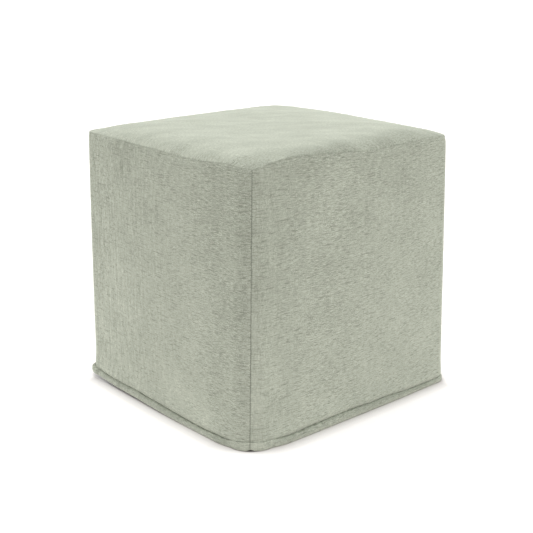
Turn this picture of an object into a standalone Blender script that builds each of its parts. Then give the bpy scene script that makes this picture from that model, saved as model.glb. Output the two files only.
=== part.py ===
"""A cube pouf stool, built from the pieces that are cut and sewn for it.

A filled block, dark on the outside, stands on its flat underside. A cover of five cloth panels
fits over it: one seat panel, and four side panels that are sewn to each other at the upright
corners and to the seat along the top seam. The cover is open underneath, and each side panel
ends in its own hem, a flattened roll that stands a little proud along the floor.

Metres, Z up, X along the front panel and Y along the right one. The origin is on the floor under
the middle of the stool.
"""

import math
from collections import namedtuple

import bmesh
import bpy
from mathutils import Matrix, Vector

# Driving sizes of the cover, seam to seam.
WIDTH = 0.421  # along the front panel
DEPTH = 0.437  # along the right panel
SEAM_HEIGHT = 0.4326  # from the floor to the top seam
CROWN = 0.0178  # how far the middle of the seat stands above the top seam
CORNER_FALL = 0.9  # how much sooner the seat falls away towards a corner than towards a side
CORNER_BLEND = 6  # how sharply the forms of two neighbouring sides of the seat meet

# The cloth and how close the pieces lie.
CLOTH = 0.0022  # one layer of the woven cover
SEAM_GAP = 0.0003  # between two sewn panels
FACE_CLEARANCE = 0.0005  # between the cloth and the faces of the block
EDGE_CLEARANCE = 0.002  # between the cloth and the edges of the block

# The side panels.
SIDE_BOW = 0.003  # how far the filling pushes a side out halfway up, besides the bow of its seam
FLOOR_BOW = 0.001  # how far a side still bows out at the floor
BOW_GROWTH = 2.5  # how soon a side takes the bow of its top seam on the way up
BOW_POWER = 1.5  # above 1, so that a bow starts level where the rounded corner ends
ROUND_GROWTH = 2  # how soon a corner takes the rounding of its top on the way up
TOP_TUCK = 0.0028  # how far the top seam pulls the sides in
TUCK_HEIGHT = 0.018  # the height over which it does so
CREASE_BULGE = 0.0014  # how far the cloth hangs over the seam of the hem
CREASE_DEPTH = 0.0012  # how far that seam is drawn in
SLACK = 0.0011  # the most that a slack stretch of a side stands out
SLACK_ALONG = 7.0  # how often it comes and goes along a side, in radians
SLACK_UP = 4.0  # and up a side

# The hem.
HEM_THICKNESS = 0.0052  # the turned-up cloth, flattened
HEM_ROUND = 0.0016  # the rounding of its two edges
HEM_BELLY = 0.0004  # how far its face swells between them
HEM_START = 0.0009  # how far under its seam the hem begins to stand out

# The filled block.
BLOCK_TOP_ROUND = 0.014  # how far the top edge of the block is rounded
BLOCK_FOOT = 0.007  # how far its underside is set in from the cloth
SEAT_CLEARANCE = 0.0011  # between the cloth of the seat and the slopes of the block's top

# How finely the faces are cut.
ARC_STEPS = 4  # from the start of a rounded corner to its seam
FLAT_STEPS = 10  # along a panel between its rounded corners
BLOCK_ARC_STEPS = 2
BLOCK_FLAT_STEPS = 6

# One row for each upright seam, going round from the left end of the front panel. spread is how
# far the corner stands out at the floor, top_round and floor_round are its rounding in plan,
# flare and hem_round are what the hem adds, and drift is how far the seam strays from the middle
# of the corner at the top, in degrees.
Corner = namedtuple("Corner", "sign_x sign_y spread top_round floor_round flare hem_round drift")
CORNERS = (
    Corner(-1, -1, 0.0045, 0.0220, 0.0315, 0.0040, 0.0270, 0.0),
    Corner(+1, -1, 0.0120, 0.0353, 0.0417, 0.0061, 0.0590, 7.0),
    Corner(+1, +1, 0.0078, 0.0190, 0.0234, 0.0022, 0.0240, 0.0),
    Corner(-1, +1, 0.0070, 0.0200, 0.0300, 0.0040, 0.0350, 0.0),
)

# One row for each side panel, in the same order. seam_bow is how far its top seam bows out, and
# slack_phase shifts its slack stretches. The last two shape the seat towards this side: a power of
# 2 is an even dome and more is a flatter seat, and a round below 1 makes it roll over at the seam.
Side = namedtuple("Side", "name outward along seam_bow slack_phase seat_power seat_round")
SIDES = (
    Side("front_panel", Vector((0, -1)), Vector((1, 0)), 0.0090, 0.4, 10.0, 0.70),
    Side("right_panel", Vector((1, 0)), Vector((0, 1)), 0.0090, 2.1, 10.0, 0.70),
    Side("back_panel", Vector((0, 1)), Vector((-1, 0)), 0.0090, 3.6, 2.86, 1.0),
    Side("left_panel", Vector((-1, 0)), Vector((0, -1)), 0.0080, 5.2, 2.86, 1.0),
)

# The top seam isn't level: rise is its height above SEAM_HEIGHT at a share of the panel's length.
SeamRow = namedtuple("SeamRow", "share rise")
SEAM_ROWS = {
    "front_panel": (
        SeamRow(0.00, -0.0010),
        SeamRow(0.20, 0.0000),
        SeamRow(0.50, -0.0005),
        SeamRow(0.62, -0.0028),
        SeamRow(0.73, -0.0035),
        SeamRow(0.82, -0.0012),
        SeamRow(0.90, 0.0015),
        SeamRow(0.97, -0.0018),
        SeamRow(1.00, -0.0030),
    ),
    "right_panel": (
        SeamRow(0.00, -0.0030),
        SeamRow(0.03, 0.0002),
        SeamRow(0.08, 0.0052),
        SeamRow(0.15, 0.0080),
        SeamRow(0.30, 0.0055),
        SeamRow(0.42, 0.0025),
        SeamRow(0.55, -0.0020),
        SeamRow(0.70, -0.0015),
        SeamRow(0.86, 0.0000),
        SeamRow(1.00, -0.0020),
    ),
    "back_panel": (
        SeamRow(0.00, -0.0020),
        SeamRow(0.12, 0.0006),
        SeamRow(0.40, 0.0000),
        SeamRow(0.70, 0.0012),
        SeamRow(0.90, 0.0004),
        SeamRow(1.00, -0.0020),
    ),
    "left_panel": (
        SeamRow(0.00, -0.0020),
        SeamRow(0.12, 0.0004),
        SeamRow(0.45, -0.0004),
        SeamRow(0.75, 0.0006),
        SeamRow(0.92, 0.0000),
        SeamRow(1.00, -0.0010),
    ),
}

# The hem: crease is the height of its seam, and lift is how far its lower edge is off the floor.
HemRow = namedtuple("HemRow", "share crease lift")
HEM_ROWS = {
    "front_panel": (
        HemRow(0.00, 0.0172, 0.0036),
        HemRow(0.05, 0.0164, 0.0058),
        HemRow(0.13, 0.0146, 0.0038),
        HemRow(0.20, 0.0150, 0.0014),
        HemRow(0.26, 0.0158, 0.0012),
        HemRow(0.42, 0.0135, 0.0010),
        HemRow(0.60, 0.0108, 0.0007),
        HemRow(0.76, 0.0084, 0.0005),
        HemRow(0.88, 0.0102, 0.0005),
        HemRow(0.96, 0.0140, 0.0010),
        HemRow(1.00, 0.0152, 0.0022),
    ),
    "right_panel": (
        HemRow(0.00, 0.0152, 0.0022),
        HemRow(0.04, 0.0150, 0.0012),
        HemRow(0.13, 0.0117, 0.0010),
        HemRow(0.28, 0.0132, 0.0010),
        HemRow(0.45, 0.0149, 0.0012),
        HemRow(0.64, 0.0142, 0.0012),
        HemRow(0.80, 0.0107, 0.0012),
        HemRow(0.92, 0.0097, 0.0012),
        HemRow(1.00, 0.0108, 0.0014),
    ),
    "back_panel": (
        HemRow(0.00, 0.0108, 0.0014),
        HemRow(0.30, 0.0135, 0.0005),
        HemRow(0.70, 0.0142, 0.0009),
        HemRow(1.00, 0.0130, 0.0012),
    ),
    "left_panel": (
        HemRow(0.00, 0.0130, 0.0012),
        HemRow(0.30, 0.0142, 0.0006),
        HemRow(0.70, 0.0132, 0.0008),
        HemRow(1.00, 0.0172, 0.0036),
    ),
}

# The rows of a side panel above its hem, from the top seam down: the distances under the seam of
# the rows near it, and then the shares of the way down from there to the crease.
UPPER_BELOW = (0.0, 0.004, 0.010, 0.020)
MIDDLE_SHARES = (0.15, 0.30, 0.45, 0.60, 0.74, 0.87)
# The last rows, from the crease up: the height above it, and how far the cloth stands out there.
OverhangRow = namedtuple("OverhangRow", "above out")
OVERHANG = (
    OverhangRow(0.024, 0.0004),
    OverhangRow(0.012, CREASE_BULGE),
    OverhangRow(0.005, CREASE_BULGE),
    OverhangRow(0.0012, -0.5 * CREASE_DEPTH),
    OverhangRow(0.0, -CREASE_DEPTH),
)

# The seat panel is made of rings, each at a share of the way from the middle out to the seam.
SEAT_RINGS = (1.0, 0.996, 0.985, 0.965, 0.93, 0.885, 0.82, 0.74, 0.62, 0.46, 0.25)
SEAM_SPREAD = 14  # the higher, the nearer to the seam its ups and downs die out

# The sides of the filled block: the height, and how far it is set in from the plan of the cover.
BlockRow = namedtuple("BlockRow", "height inset")
BLOCK_SIDE = (
    BlockRow(0.0, CLOTH + BLOCK_FOOT),
    BlockRow(0.0075, CLOTH + 2 * EDGE_CLEARANCE),
    BlockRow(0.0300, CLOTH + EDGE_CLEARANCE),
    BlockRow(0.0750, CLOTH + FACE_CLEARANCE),
    BlockRow(0.50 * SEAM_HEIGHT, CLOTH + FACE_CLEARANCE),
    BlockRow(0.80 * SEAM_HEIGHT, CLOTH + FACE_CLEARANCE),
    BlockRow(SEAM_HEIGHT - 1.8 * BLOCK_TOP_ROUND, CLOTH + 2 * FACE_CLEARANCE),
    BlockRow(SEAM_HEIGHT - BLOCK_TOP_ROUND, CLOTH + EDGE_CLEARANCE),
    BlockRow(SEAM_HEIGHT - 0.4 * BLOCK_TOP_ROUND, CLOTH + 2 * EDGE_CLEARANCE),
)
# The rings of its top, and how far each lies under the cloth of the seat.
BlockRing = namedtuple("BlockRing", "share under")
BLOCK_TOP = (
    BlockRing(0.97, CLOTH + SEAT_CLEARANCE + 1.2 * EDGE_CLEARANCE),
    BlockRing(0.90, CLOTH + SEAT_CLEARANCE + 0.5 * EDGE_CLEARANCE),
    BlockRing(0.80, CLOTH + SEAT_CLEARANCE),
    BlockRing(0.62, CLOTH + SEAT_CLEARANCE),
    BlockRing(0.34, CLOTH + SEAT_CLEARANCE),
)


def eased(rows, share, column):
    """A column of a table at a share of the length, with level tangents at the table's rows."""
    for low, high in zip(rows, rows[1:]):
        if share <= high.share:
            step = max(0.0, (share - low.share) / (high.share - low.share))
            smooth = step * step * (3 - 2 * step)
            return getattr(low, column) + (getattr(high, column) - getattr(low, column)) * smooth
    return getattr(rows[-1], column)


def bow_at(side, height):
    """How far the middle of a side bows out at a height."""
    up = min(max(height / SEAM_HEIGHT, 0.0), 1.0)
    seam_share = 1 - (1 - up) ** BOW_GROWTH
    middle_share = 1 - abs(2 * up - 1) ** 3
    return FLOOR_BOW + (side.seam_bow - FLOOR_BOW) * seam_share + SIDE_BOW * middle_share


def tuck_at(below):
    """How far the top seam pulls a side in at a distance below the seam."""
    return TOP_TUCK * max(1 - below / TUCK_HEIGHT, 0.0) ** 3


def corner_at(corner, height, is_hem):
    """The plan corner of the cover, as if it were sharp, and its rounding, at a height."""
    up = min(max(height / SEAM_HEIGHT, 0.0), 1.0)
    out = corner.spread * (1 - up)
    rounding = corner.top_round + (corner.floor_round - corner.top_round) * (1 - up) ** ROUND_GROWTH
    if is_hem:
        out += corner.flare
        rounding = corner.hem_round
    place = Vector((corner.sign_x * (WIDTH / 2 + out), corner.sign_y * (DEPTH / 2 + out)))
    return place, rounding


def slack_at(side, share, height):
    """How far a slack stretch of a side stands out, nothing at the seams."""
    up = height / SEAM_HEIGHT
    inside = math.sin(math.pi * share) * math.sin(math.pi * min(max(up, 0.0), 1.0))
    wave = 0.5 + 0.5 * math.sin(SLACK_ALONG * share + SLACK_UP * up + side.slack_phase)
    return SLACK * inside * wave


def panel_line(index, height, arc_steps, flat_steps, inset=0.0, is_hem=False, extra_round=0.0):
    """The plan line of a side panel at a height, from one upright seam to the next.

    Each point comes with the direction that is outwards there and its share of the length.
    """
    side = SIDES[index]
    start, end = CORNERS[index], CORNERS[(index + 1) % len(CORNERS)]
    up = min(max(height / SEAM_HEIGHT, 0.0), 1.0)
    start_place, start_round = corner_at(start, height, is_hem)
    end_place, end_round = corner_at(end, height, is_hem)
    start_round += extra_round
    end_round += extra_round
    along, outward = side.along, side.outward
    points = []
    start_turn = math.radians(45 - start.drift * up)
    centre = start_place + (along - outward) * start_round
    for step in range(arc_steps):
        turn = start_turn * (1 - step / arc_steps)
        direction = outward * math.cos(turn) - along * math.sin(turn)
        points.append((centre + direction * start_round, direction))
    first = start_place + along * start_round
    last = end_place - along * end_round
    bow = bow_at(side, height)
    for step in range(flat_steps + 1):
        across = 2 * step / flat_steps - 1
        out = outward * bow * (1 - across * across) ** BOW_POWER
        points.append((first.lerp(last, step / flat_steps) + out, outward))
    end_turn = math.radians(45 + end.drift * up)
    centre = end_place - (along + outward) * end_round
    for step in range(1, arc_steps + 1):
        turn = end_turn * step / arc_steps
        direction = outward * math.cos(turn) + along * math.sin(turn)
        points.append((centre + direction * end_round, direction))
    lengths = [0.0]
    for (here, _), (there, _) in zip(points, points[1:]):
        lengths.append(lengths[-1] + (there - here).length)
    shares = [length / lengths[-1] for length in lengths]
    return [(place - out * inset, out, share) for (place, out), share in zip(points, shares)]


def side_section(index, column):
    """The closed section of a side panel at one of its columns, top seam down and back up inside."""
    side = SIDES[index]

    def line(height, is_hem=False):
        return panel_line(index, height, ARC_STEPS, FLAT_STEPS, 0.0, is_hem)[column]

    share = line(SEAM_HEIGHT)[2]
    seam = SEAM_HEIGHT + eased(SEAM_ROWS[side.name], share, "rise") - SEAM_GAP / 2
    crease = eased(HEM_ROWS[side.name], share, "crease")
    lift = eased(HEM_ROWS[side.name], share, "lift")
    rows = []  # (height, how far the outer face stands out from the plan line)
    for below in UPPER_BELOW:
        rows.append((seam - below, slack_at(side, share, seam - below) - tuck_at(below)))
    top, bottom = seam - UPPER_BELOW[-1], crease + OVERHANG[0].above
    for way in MIDDLE_SHARES:
        height = top + (bottom - top) * way
        rows.append((height, slack_at(side, share, height)))
    for row in OVERHANG:
        rows.append((crease + row.above, row.out))
    outer, inner = [], []
    for height, out in rows:
        place, direction, _ = line(height * SEAM_HEIGHT / seam)
        outer.append((*(place + direction * out), height))
        inner.append((*(place + direction * (out - CLOTH)), height))
    # The hem: a flattened roll whose outer face stands proud and whose inner face hangs straight.
    body, direction, _ = line(crease)
    proud, _, _ = line(0.0, is_hem=True)
    back = body - direction * (CREASE_DEPTH + CLOTH)
    face = proud if (proud - body).dot(direction) > 0 else body
    lip = face - direction * HEM_ROUND
    foot = max((face - back).dot(direction), HEM_THICKNESS)
    back = face - direction * foot
    hem_rows = (
        (crease - HEM_START, lip),
        (crease - HEM_START - HEM_ROUND, face),
        ((crease + lift) / 2, face + direction * HEM_BELLY),
        (lift + HEM_ROUND, face),
        (lift, lip),
    )
    for height, place in hem_rows:
        outer.append((*place, height))
        inner.append((*back, height))
    return outer, inner


def closed_solid(name, vertices, faces, material):
    """One object from a closed set of faces, with its faces turned outwards."""
    mesh = bpy.data.meshes.new(name)
    mesh.from_pydata(vertices, [], faces)
    work = bmesh.new()
    work.from_mesh(mesh)
    bmesh.ops.recalc_face_normals(work, faces=work.faces[:])
    if work.calc_volume(signed=True) < 0:
        bmesh.ops.reverse_faces(work, faces=work.faces[:])
    bmesh.ops.triangulate(work, faces=work.faces[:])
    work.to_mesh(mesh)
    work.free()
    mesh.shade_smooth()
    mesh.set_sharp_from_angle(angle=math.radians(50))
    mesh.materials.append(material)
    solid = bpy.data.objects.new(name, mesh)
    bpy.context.scene.collection.objects.link(solid)
    return solid


def make_material(name, colour, roughness, sheen=0.0):
    """A plain finish with the piece's own colour."""
    material = bpy.data.materials.new(name)
    material.use_nodes = True
    shader = material.node_tree.nodes["Principled BSDF"]
    shader.inputs["Base Color"].default_value = (*colour, 1.0)
    shader.inputs["Roughness"].default_value = roughness
    shader.inputs["Metallic"].default_value = 0.0
    shader.inputs["Sheen Weight"].default_value = sheen
    return material


def cloth_material(name):
    return make_material(name, colour=(0.35, 0.37, 0.31), roughness=0.9, sheen=0.3)


def build_side_panel(index):
    """A side panel: its section carried from one upright seam to the next, with its hem."""
    side = SIDES[index]
    columns = 2 * ARC_STEPS + FLAT_STEPS + 1
    vertices, faces = [], []
    for column in range(columns):
        outer, inner = side_section(index, column)
        ring = outer + inner[::-1]
        # Each end stops half a gap short of the seam.
        if column in (0, columns - 1):
            nearer = side_section(index, 1 if column == 0 else columns - 2)[0]
            ring = [end_point(point, ring_point(nearer, outer, i)) for i, point in enumerate(ring)]
        vertices.extend(ring)
    size = len(vertices) // columns
    for column in range(columns - 1):
        for row in range(size):
            here, there = column * size, (column + 1) * size
            after = (row + 1) % size
            faces.append((here + row, here + after, there + after, there + row))
    for start in (0, (columns - 1) * size):
        for row in range(size // 2 - 1):
            opposite = size - 1 - row
            faces.append((start + row, start + row + 1, start + opposite - 1, start + opposite))
    return closed_solid(side.name, vertices, faces, cloth_material(side.name + "_cloth"))


def ring_point(nearer, outer, i):
    """The outer point of the next column that is level with point i of a section."""
    return nearer[i] if i < len(outer) else nearer[2 * len(outer) - 1 - i]


def end_point(point, neighbour):
    """A point of a panel's end, moved half a gap towards the panel's middle."""
    step = Vector((neighbour[0] - point[0], neighbour[1] - point[1]))
    step = step.normalized() * (SEAM_GAP / 2)
    return (point[0] + step.x, point[1] + step.y, point[2])


def whole_line(height, arc_steps, flat_steps, inset=0.0, extra_round=0.0):
    """The plan line all the way round, with the outward direction and the seam's rise there."""
    points = []
    for index, side in enumerate(SIDES):
        line = panel_line(index, height, arc_steps, flat_steps, inset, False, extra_round)
        for place, outward, share in line[:-1]:
            points.append((place, outward, eased(SEAM_ROWS[side.name], share, "rise")))
    return points


def seat_height(rim, half_width, half_depth, ring, rise):
    """The height of the cover's seat at a share of the way from the middle to a place on its rim."""
    front, right, back, left = SIDES
    across = (abs(rim.x) / half_width) ** CORNER_BLEND
    deep = (abs(rim.y) / half_depth) ** CORNER_BLEND
    sideways = across / (across + deep)
    beside = right if rim.x > 0 else left
    ahead = back if rim.y > 0 else front
    power = ahead.seat_power + (beside.seat_power - ahead.seat_power) * sideways
    fall = ahead.seat_round + (beside.seat_round - ahead.seat_round) * sideways
    fall *= 1 + CORNER_FALL * 4 * sideways * (1 - sideways)
    return SEAM_HEIGHT + CROWN * (1 - ring**power) ** fall + rise * ring**SEAM_SPREAD


def seat_surface(rings, arc_steps, flat_steps):
    """The cover's seat as rings of points, from the top seam in to the middle."""
    line = whole_line(SEAM_HEIGHT, arc_steps, flat_steps, TOP_TUCK)
    half_width = max(place.x for place, _, _ in line)
    half_depth = max(place.y for place, _, _ in line)
    surface = []
    for ring in rings:
        row = []
        for rim, _, rise in line:
            row.append(Vector((*rim * ring, seat_height(rim, half_width, half_depth, ring, rise))))
        surface.append(row)
    middle = Vector((0, 0, SEAM_HEIGHT + CROWN))
    return surface, middle


def underside(surface, middle):
    """The inner face of the seat: moved in sideways at the seam, and square to it further in.

    The ring next to the seam is left out, because it is nearer to the seam than the cloth is thick.
    """
    line = whole_line(SEAM_HEIGHT, ARC_STEPS, FLAT_STEPS, TOP_TUCK)
    count = len(line)
    rim = [point - Vector((*line[i][1], 0)) * CLOTH for i, point in enumerate(surface[0])]
    moved = [rim]
    for number in range(2, len(surface)):
        row, outer = surface[number], surface[number - 1]
        inner = surface[number + 1] if number + 1 < len(surface) else [middle] * count
        new_row = []
        for i, point in enumerate(row):
            around = row[(i + 1) % count] - row[i - 1]
            normal = around.cross(inner[i] - outer[i]).normalized()
            new_row.append(point - normal * CLOTH)
        moved.append(new_row)
    return moved, middle - Vector((0, 0, CLOTH))


def ring_faces(first, second, count):
    faces = []
    for i in range(count):
        after = (i + 1) % count
        faces.append((first + i, first + after, second + after, second + i))
    return faces


def fan_faces(start, middle, count):
    return [(start + i, start + (i + 1) % count, middle) for i in range(count)]


def build_seat_panel():
    """The seat: a crowned sheet that meets the side panels at the top seam."""
    surface, middle = seat_surface(SEAT_RINGS, ARC_STEPS, FLAT_STEPS)
    surface[0] = [point + Vector((0, 0, SEAM_GAP / 2)) for point in surface[0]]
    under, under_middle = underside(surface, middle)
    count = len(surface[0])
    vertices = [point for row in surface for point in row]
    vertices.append(middle)
    below = len(vertices)
    vertices += [point for row in under for point in row]
    vertices.append(under_middle)
    faces = []
    for start, rows in ((0, surface), (below, under)):
        for ring in range(len(rows) - 1):
            faces += ring_faces(start + ring * count, start + (ring + 1) * count, count)
        faces += fan_faces(start + (len(rows) - 1) * count, start + len(rows) * count, count)
    faces += ring_faces(0, below, count)
    return closed_solid("seat_panel", vertices, faces, cloth_material("seat_panel_cloth"))


def build_filled_block():
    """The filled block: flat underside, sides that follow the cover, crowned top."""
    rings = []
    more_round = 2 * EDGE_CLEARANCE
    for row in BLOCK_SIDE:
        line = whole_line(row.height, BLOCK_ARC_STEPS, BLOCK_FLAT_STEPS, row.inset, more_round)
        rings.append([Vector((*place, row.height)) for place, _, _ in line])
    shares = [ring.share for ring in BLOCK_TOP]
    surface, middle = seat_surface(shares, BLOCK_ARC_STEPS, BLOCK_FLAT_STEPS)
    for ring, points in zip(BLOCK_TOP, surface):
        rings.append([point - Vector((0, 0, ring.under)) for point in points])
    count = len(rings[0])
    vertices = [point for ring in rings for point in ring]
    vertices.append(middle - Vector((0, 0, CLOTH + FACE_CLEARANCE)))
    vertices.append(Vector((0, 0, 0)))
    faces = []
    for number in range(len(rings) - 1):
        faces += ring_faces(number * count, (number + 1) * count, count)
    faces += fan_faces((len(rings) - 1) * count, len(rings) * count, count)
    faces += fan_faces(0, len(rings) * count + 1, count)
    casing = make_material("casing_cloth", colour=(0.012, 0.012, 0.013), roughness=0.85)
    return closed_solid("filled_block", vertices, faces, casing)


def centre_in_plan(solids):
    """Moves the solids so that the origin is under the middle of the whole stool's box.

    The near corner stands out more than the others, so the seams' middle isn't the box's.
    """
    places = [vertex.co for solid in solids for vertex in solid.data.vertices]
    shift = [-(min(p[i] for p in places) + max(p[i] for p in places)) / 2 for i in (0, 1)]
    for solid in solids:
        solid.data.transform(Matrix.Translation((*shift, 0)))


def build_stool():
    for old in list(bpy.context.scene.objects):
        bpy.data.objects.remove(old)
    solids = [build_filled_block(), build_seat_panel()]
    solids += [build_side_panel(index) for index in range(len(SIDES))]
    centre_in_plan(solids)


build_stool()
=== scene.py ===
# %% [markdown]
# # A cube pouf stool, dressed
#
# The stool is a filled cube under a fitted cover of five cloth panels: a seat on top and four
# sides that end in a turned hem along the floor. This notebook takes the plain solids of the
# stool as a fixed frame and gives them their looks: each panel as a thin closed sheet with its
# rolled edges, puckers and hem, the filled block by a cloth simulation, the woven cloth by shader
# nodes, the sewing thread by Geometry Nodes, and then the floor, the light and the camera.

# %% Load the frame
import functools
import math

import bmesh
import bpy
import numpy as np
from mathutils import Matrix, Vector


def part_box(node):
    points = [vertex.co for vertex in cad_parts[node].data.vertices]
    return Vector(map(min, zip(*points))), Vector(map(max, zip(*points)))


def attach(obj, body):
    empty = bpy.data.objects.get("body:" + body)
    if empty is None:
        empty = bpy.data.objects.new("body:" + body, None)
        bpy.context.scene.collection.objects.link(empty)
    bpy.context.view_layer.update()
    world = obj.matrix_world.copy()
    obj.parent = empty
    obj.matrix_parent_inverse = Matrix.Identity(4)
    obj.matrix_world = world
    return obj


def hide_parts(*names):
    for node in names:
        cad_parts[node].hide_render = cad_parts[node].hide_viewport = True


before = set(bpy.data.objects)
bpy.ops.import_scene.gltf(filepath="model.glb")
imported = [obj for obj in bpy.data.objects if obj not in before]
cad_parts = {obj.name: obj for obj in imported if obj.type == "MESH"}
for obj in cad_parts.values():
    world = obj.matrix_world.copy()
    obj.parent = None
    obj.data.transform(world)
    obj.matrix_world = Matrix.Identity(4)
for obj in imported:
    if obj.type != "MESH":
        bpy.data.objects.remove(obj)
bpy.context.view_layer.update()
scene = bpy.context.scene
print("solids:", sorted(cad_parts))

# %% [markdown]
# ## The sizes of the cover
#
# The plan of the cover is a rounded rectangle that changes with height: its sides bow out at the
# top seam, its corners spread and get rounder towards the floor. These are the same driving sizes
# as the solids have, in metres. One row stands for each upright corner and each side, going round
# from the left end of the front panel.

# %% Driving sizes
WIDTH = 0.421  # along the front panel
DEPTH = 0.437  # along the right panel
SEAM_HEIGHT = 0.4326  # from the floor to the top seam
CROWN = 0.0178  # how far the middle of the seat stands above the top seam
CORNER_FALL = 0.9  # how much sooner the seat falls away towards a corner than towards a side
CORNER_BLEND = 6  # how sharply the forms of two neighbouring sides of the seat meet
SEAM_SPREAD = 14  # how soon the rise of the top seam fades on the way into the seat
CLOTH = 0.0022  # one layer of the woven cover
SIDE_BOW = 0.003  # how far the filling pushes a side out halfway up, besides the bow of its seam
FLOOR_BOW = 0.001  # how far a side still bows out at the floor
BOW_GROWTH = 2.5  # how soon a side takes the bow of its top seam on the way up
BOW_POWER = 1.5  # above 1, so that a bow starts level where the rounded corner ends
ROUND_GROWTH = 2  # how soon a corner takes the rounding of its top on the way up
TOP_TUCK = 0.0028  # how far the top seam pulls the sides in
TUCK_HEIGHT = 0.018  # the height over which it does so
SLACK = 0.0011  # the most that a slack stretch of a side stands out
SLACK_ALONG, SLACK_UP = 7.0, 4.0  # how often it comes and goes along a side and up it, in radians

CORNER_COLUMNS = "sign_x sign_y spread top_round floor_round flare hem_bend drift".split()
CORNERS = [
    dict(zip(CORNER_COLUMNS, row))
    for row in (
        (-1, -1, 0.0045, 0.0220, 0.0315, 0.0040, 0.0316, 0.0),
        (+1, -1, 0.0120, 0.0353, 0.0417, 0.0061, 0.0830, 4.6),
        (+1, +1, 0.0078, 0.0190, 0.0234, 0.0022, 0.0280, 0.0),
        (-1, +1, 0.0070, 0.0200, 0.0300, 0.0040, 0.0410, 0.0),
    )
]
SIDE_COLUMNS = "name outward along seam_bow slack_phase seat_power seat_round".split()
SIDES = [
    dict(zip(SIDE_COLUMNS, row))
    for row in (
        ("front_panel", (0, -1), (1, 0), 0.0090, 0.4, 10.0, 0.70),
        ("right_panel", (1, 0), (0, 1), 0.0090, 2.1, 10.0, 0.70),
        ("back_panel", (0, 1), (-1, 0), 0.0090, 3.6, 2.86, 1.0),
        ("left_panel", (-1, 0), (0, -1), 0.0080, 5.2, 2.86, 1.0),
    )
]
# Corners that look different, by the panel that starts there.
LOOSE_CORNER = 0  # here the hem stays a roll,
CRISP_CORNER = 0  # and the seat is sharpest
FLAT_CORNER = 1  # the near corner, where the hem lies flattest
print("cover:", WIDTH, "x", DEPTH, "m, top seam at", SEAM_HEIGHT, "m")

# %% [markdown]
# ## Seams that wander
#
# Neither the top seam nor the hem is level. Each is a short table of heights at shares of a panel's
# length, and one helper reads a table at any share and eases from row to row, so a seam has no
# kinks. The same helper reads every other table here.

# %% The top seam and the hem
SEAM_RISE = {  # the share of the length, and how far the top seam is above SEAM_HEIGHT
    "front_panel": (
        (0.00, -0.0010), (0.20, 0.0000), (0.50, -0.0005), (0.62, -0.0028), (0.73, -0.0035),
        (0.82, -0.0012), (0.90, 0.0015), (0.97, -0.0018), (1.00, -0.0030),
    ),
    "right_panel": (
        (0.00, -0.0030), (0.03, 0.0002), (0.08, 0.0052), (0.15, 0.0080), (0.30, 0.0055),
        (0.42, 0.0025), (0.55, -0.0020), (0.70, -0.0015), (0.86, 0.0000), (1.00, -0.0020),
    ),
    "back_panel": (
        (0.00, -0.0020), (0.12, 0.0006), (0.40, 0.0000), (0.70, 0.0012), (0.90, 0.0004),
        (1.00, -0.0020),
    ),
    "left_panel": (
        (0.00, -0.0020), (0.12, 0.0004), (0.45, -0.0004), (0.75, 0.0006), (0.92, 0.0000),
        (1.00, -0.0010),
    ),
}
HEM = {  # the share of the length, the height of the hem's seam, and its edge's height off the floor
    "front_panel": (
        (0.00, 0.0180, 0.0064), (0.04, 0.0170, 0.0066), (0.09, 0.0155, 0.0050),
        (0.14, 0.0147, 0.0040), (0.20, 0.0150, 0.0034), (0.30, 0.0157, 0.0032),
        (0.42, 0.0135, 0.0020), (0.56, 0.0112, 0.0008), (0.76, 0.0084, 0.0003),
        (0.88, 0.0102, 0.0003), (0.97, 0.0145, 0.0003), (0.986, 0.0150, 0.0006),
        (1.00, 0.0152, 0.0030),
    ),
    "right_panel": (
        (0.00, 0.0152, 0.0030), (0.014, 0.0151, 0.0006), (0.03, 0.0150, 0.0003),
        (0.13, 0.0117, 0.0003), (0.28, 0.0132, 0.0003), (0.45, 0.0149, 0.0004),
        (0.64, 0.0142, 0.0004), (0.80, 0.0107, 0.0004), (0.92, 0.0097, 0.0004),
        (1.00, 0.0108, 0.0010),
    ),
    "back_panel": (
        (0.00, 0.0108, 0.0010), (0.30, 0.0135, 0.0005), (0.70, 0.0142, 0.0009),
        (1.00, 0.0130, 0.0012),
    ),
    "left_panel": (
        (0.00, 0.0130, 0.0012), (0.30, 0.0142, 0.0006), (0.70, 0.0132, 0.0008),
        (1.00, 0.0180, 0.0064),
    ),
}


def smooth(share):
    """A share from 0 to 1, made to start and end level."""
    return share * share * (3 - 2 * share)


def smooth_step(value, low, high):
    """0 up to a low value, 1 from a high one, and smooth in between."""
    return smooth(np.clip((value - low) / (high - low), 0, 1))


def eased(rows, share, column=1):
    """A column of a table at shares of the length, with level tangents at the table's rows."""
    at, value = np.array([(row[0], row[column]) for row in rows]).T
    low = np.clip(np.searchsorted(at, share, side="right") - 1, 0, len(at) - 2)
    step = np.clip((share - at[low]) / (at[low + 1] - at[low]), 0, 1)
    return value[low] + (value[low + 1] - value[low]) * smooth(step)


print("the front hem halfway along:", eased(HEM["front_panel"], 0.5).round(4), "m high")

# %% [markdown]
# ## One line round the cover
#
# Every panel is carried along the same plan line, so the line is one helper: at a height it gives
# the points of one panel from upright seam to upright seam, with the direction that points out of
# the cloth. The columns crowd together at the two ends, because the cloth turns under there within
# a millimetre or two. The hem is stiffer than the cloth above it, so it takes the corners in a
# looser bend. Arrays do this for all columns at once, which keeps a fine mesh quick.

# %% The plan line
ARC_FRACTIONS = np.array([
    0.006, 0.011, 0.019, 0.032, 0.048, 0.070, 0.100, 0.14, 0.19, 0.25, 0.32, 0.40, 0.49, 0.59, 0.70,
    0.80, 0.90,
])
FLAT_COLUMNS = 140


def unit(vectors):
    return vectors / np.linalg.norm(vectors, axis=-1, keepdims=True)


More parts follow.
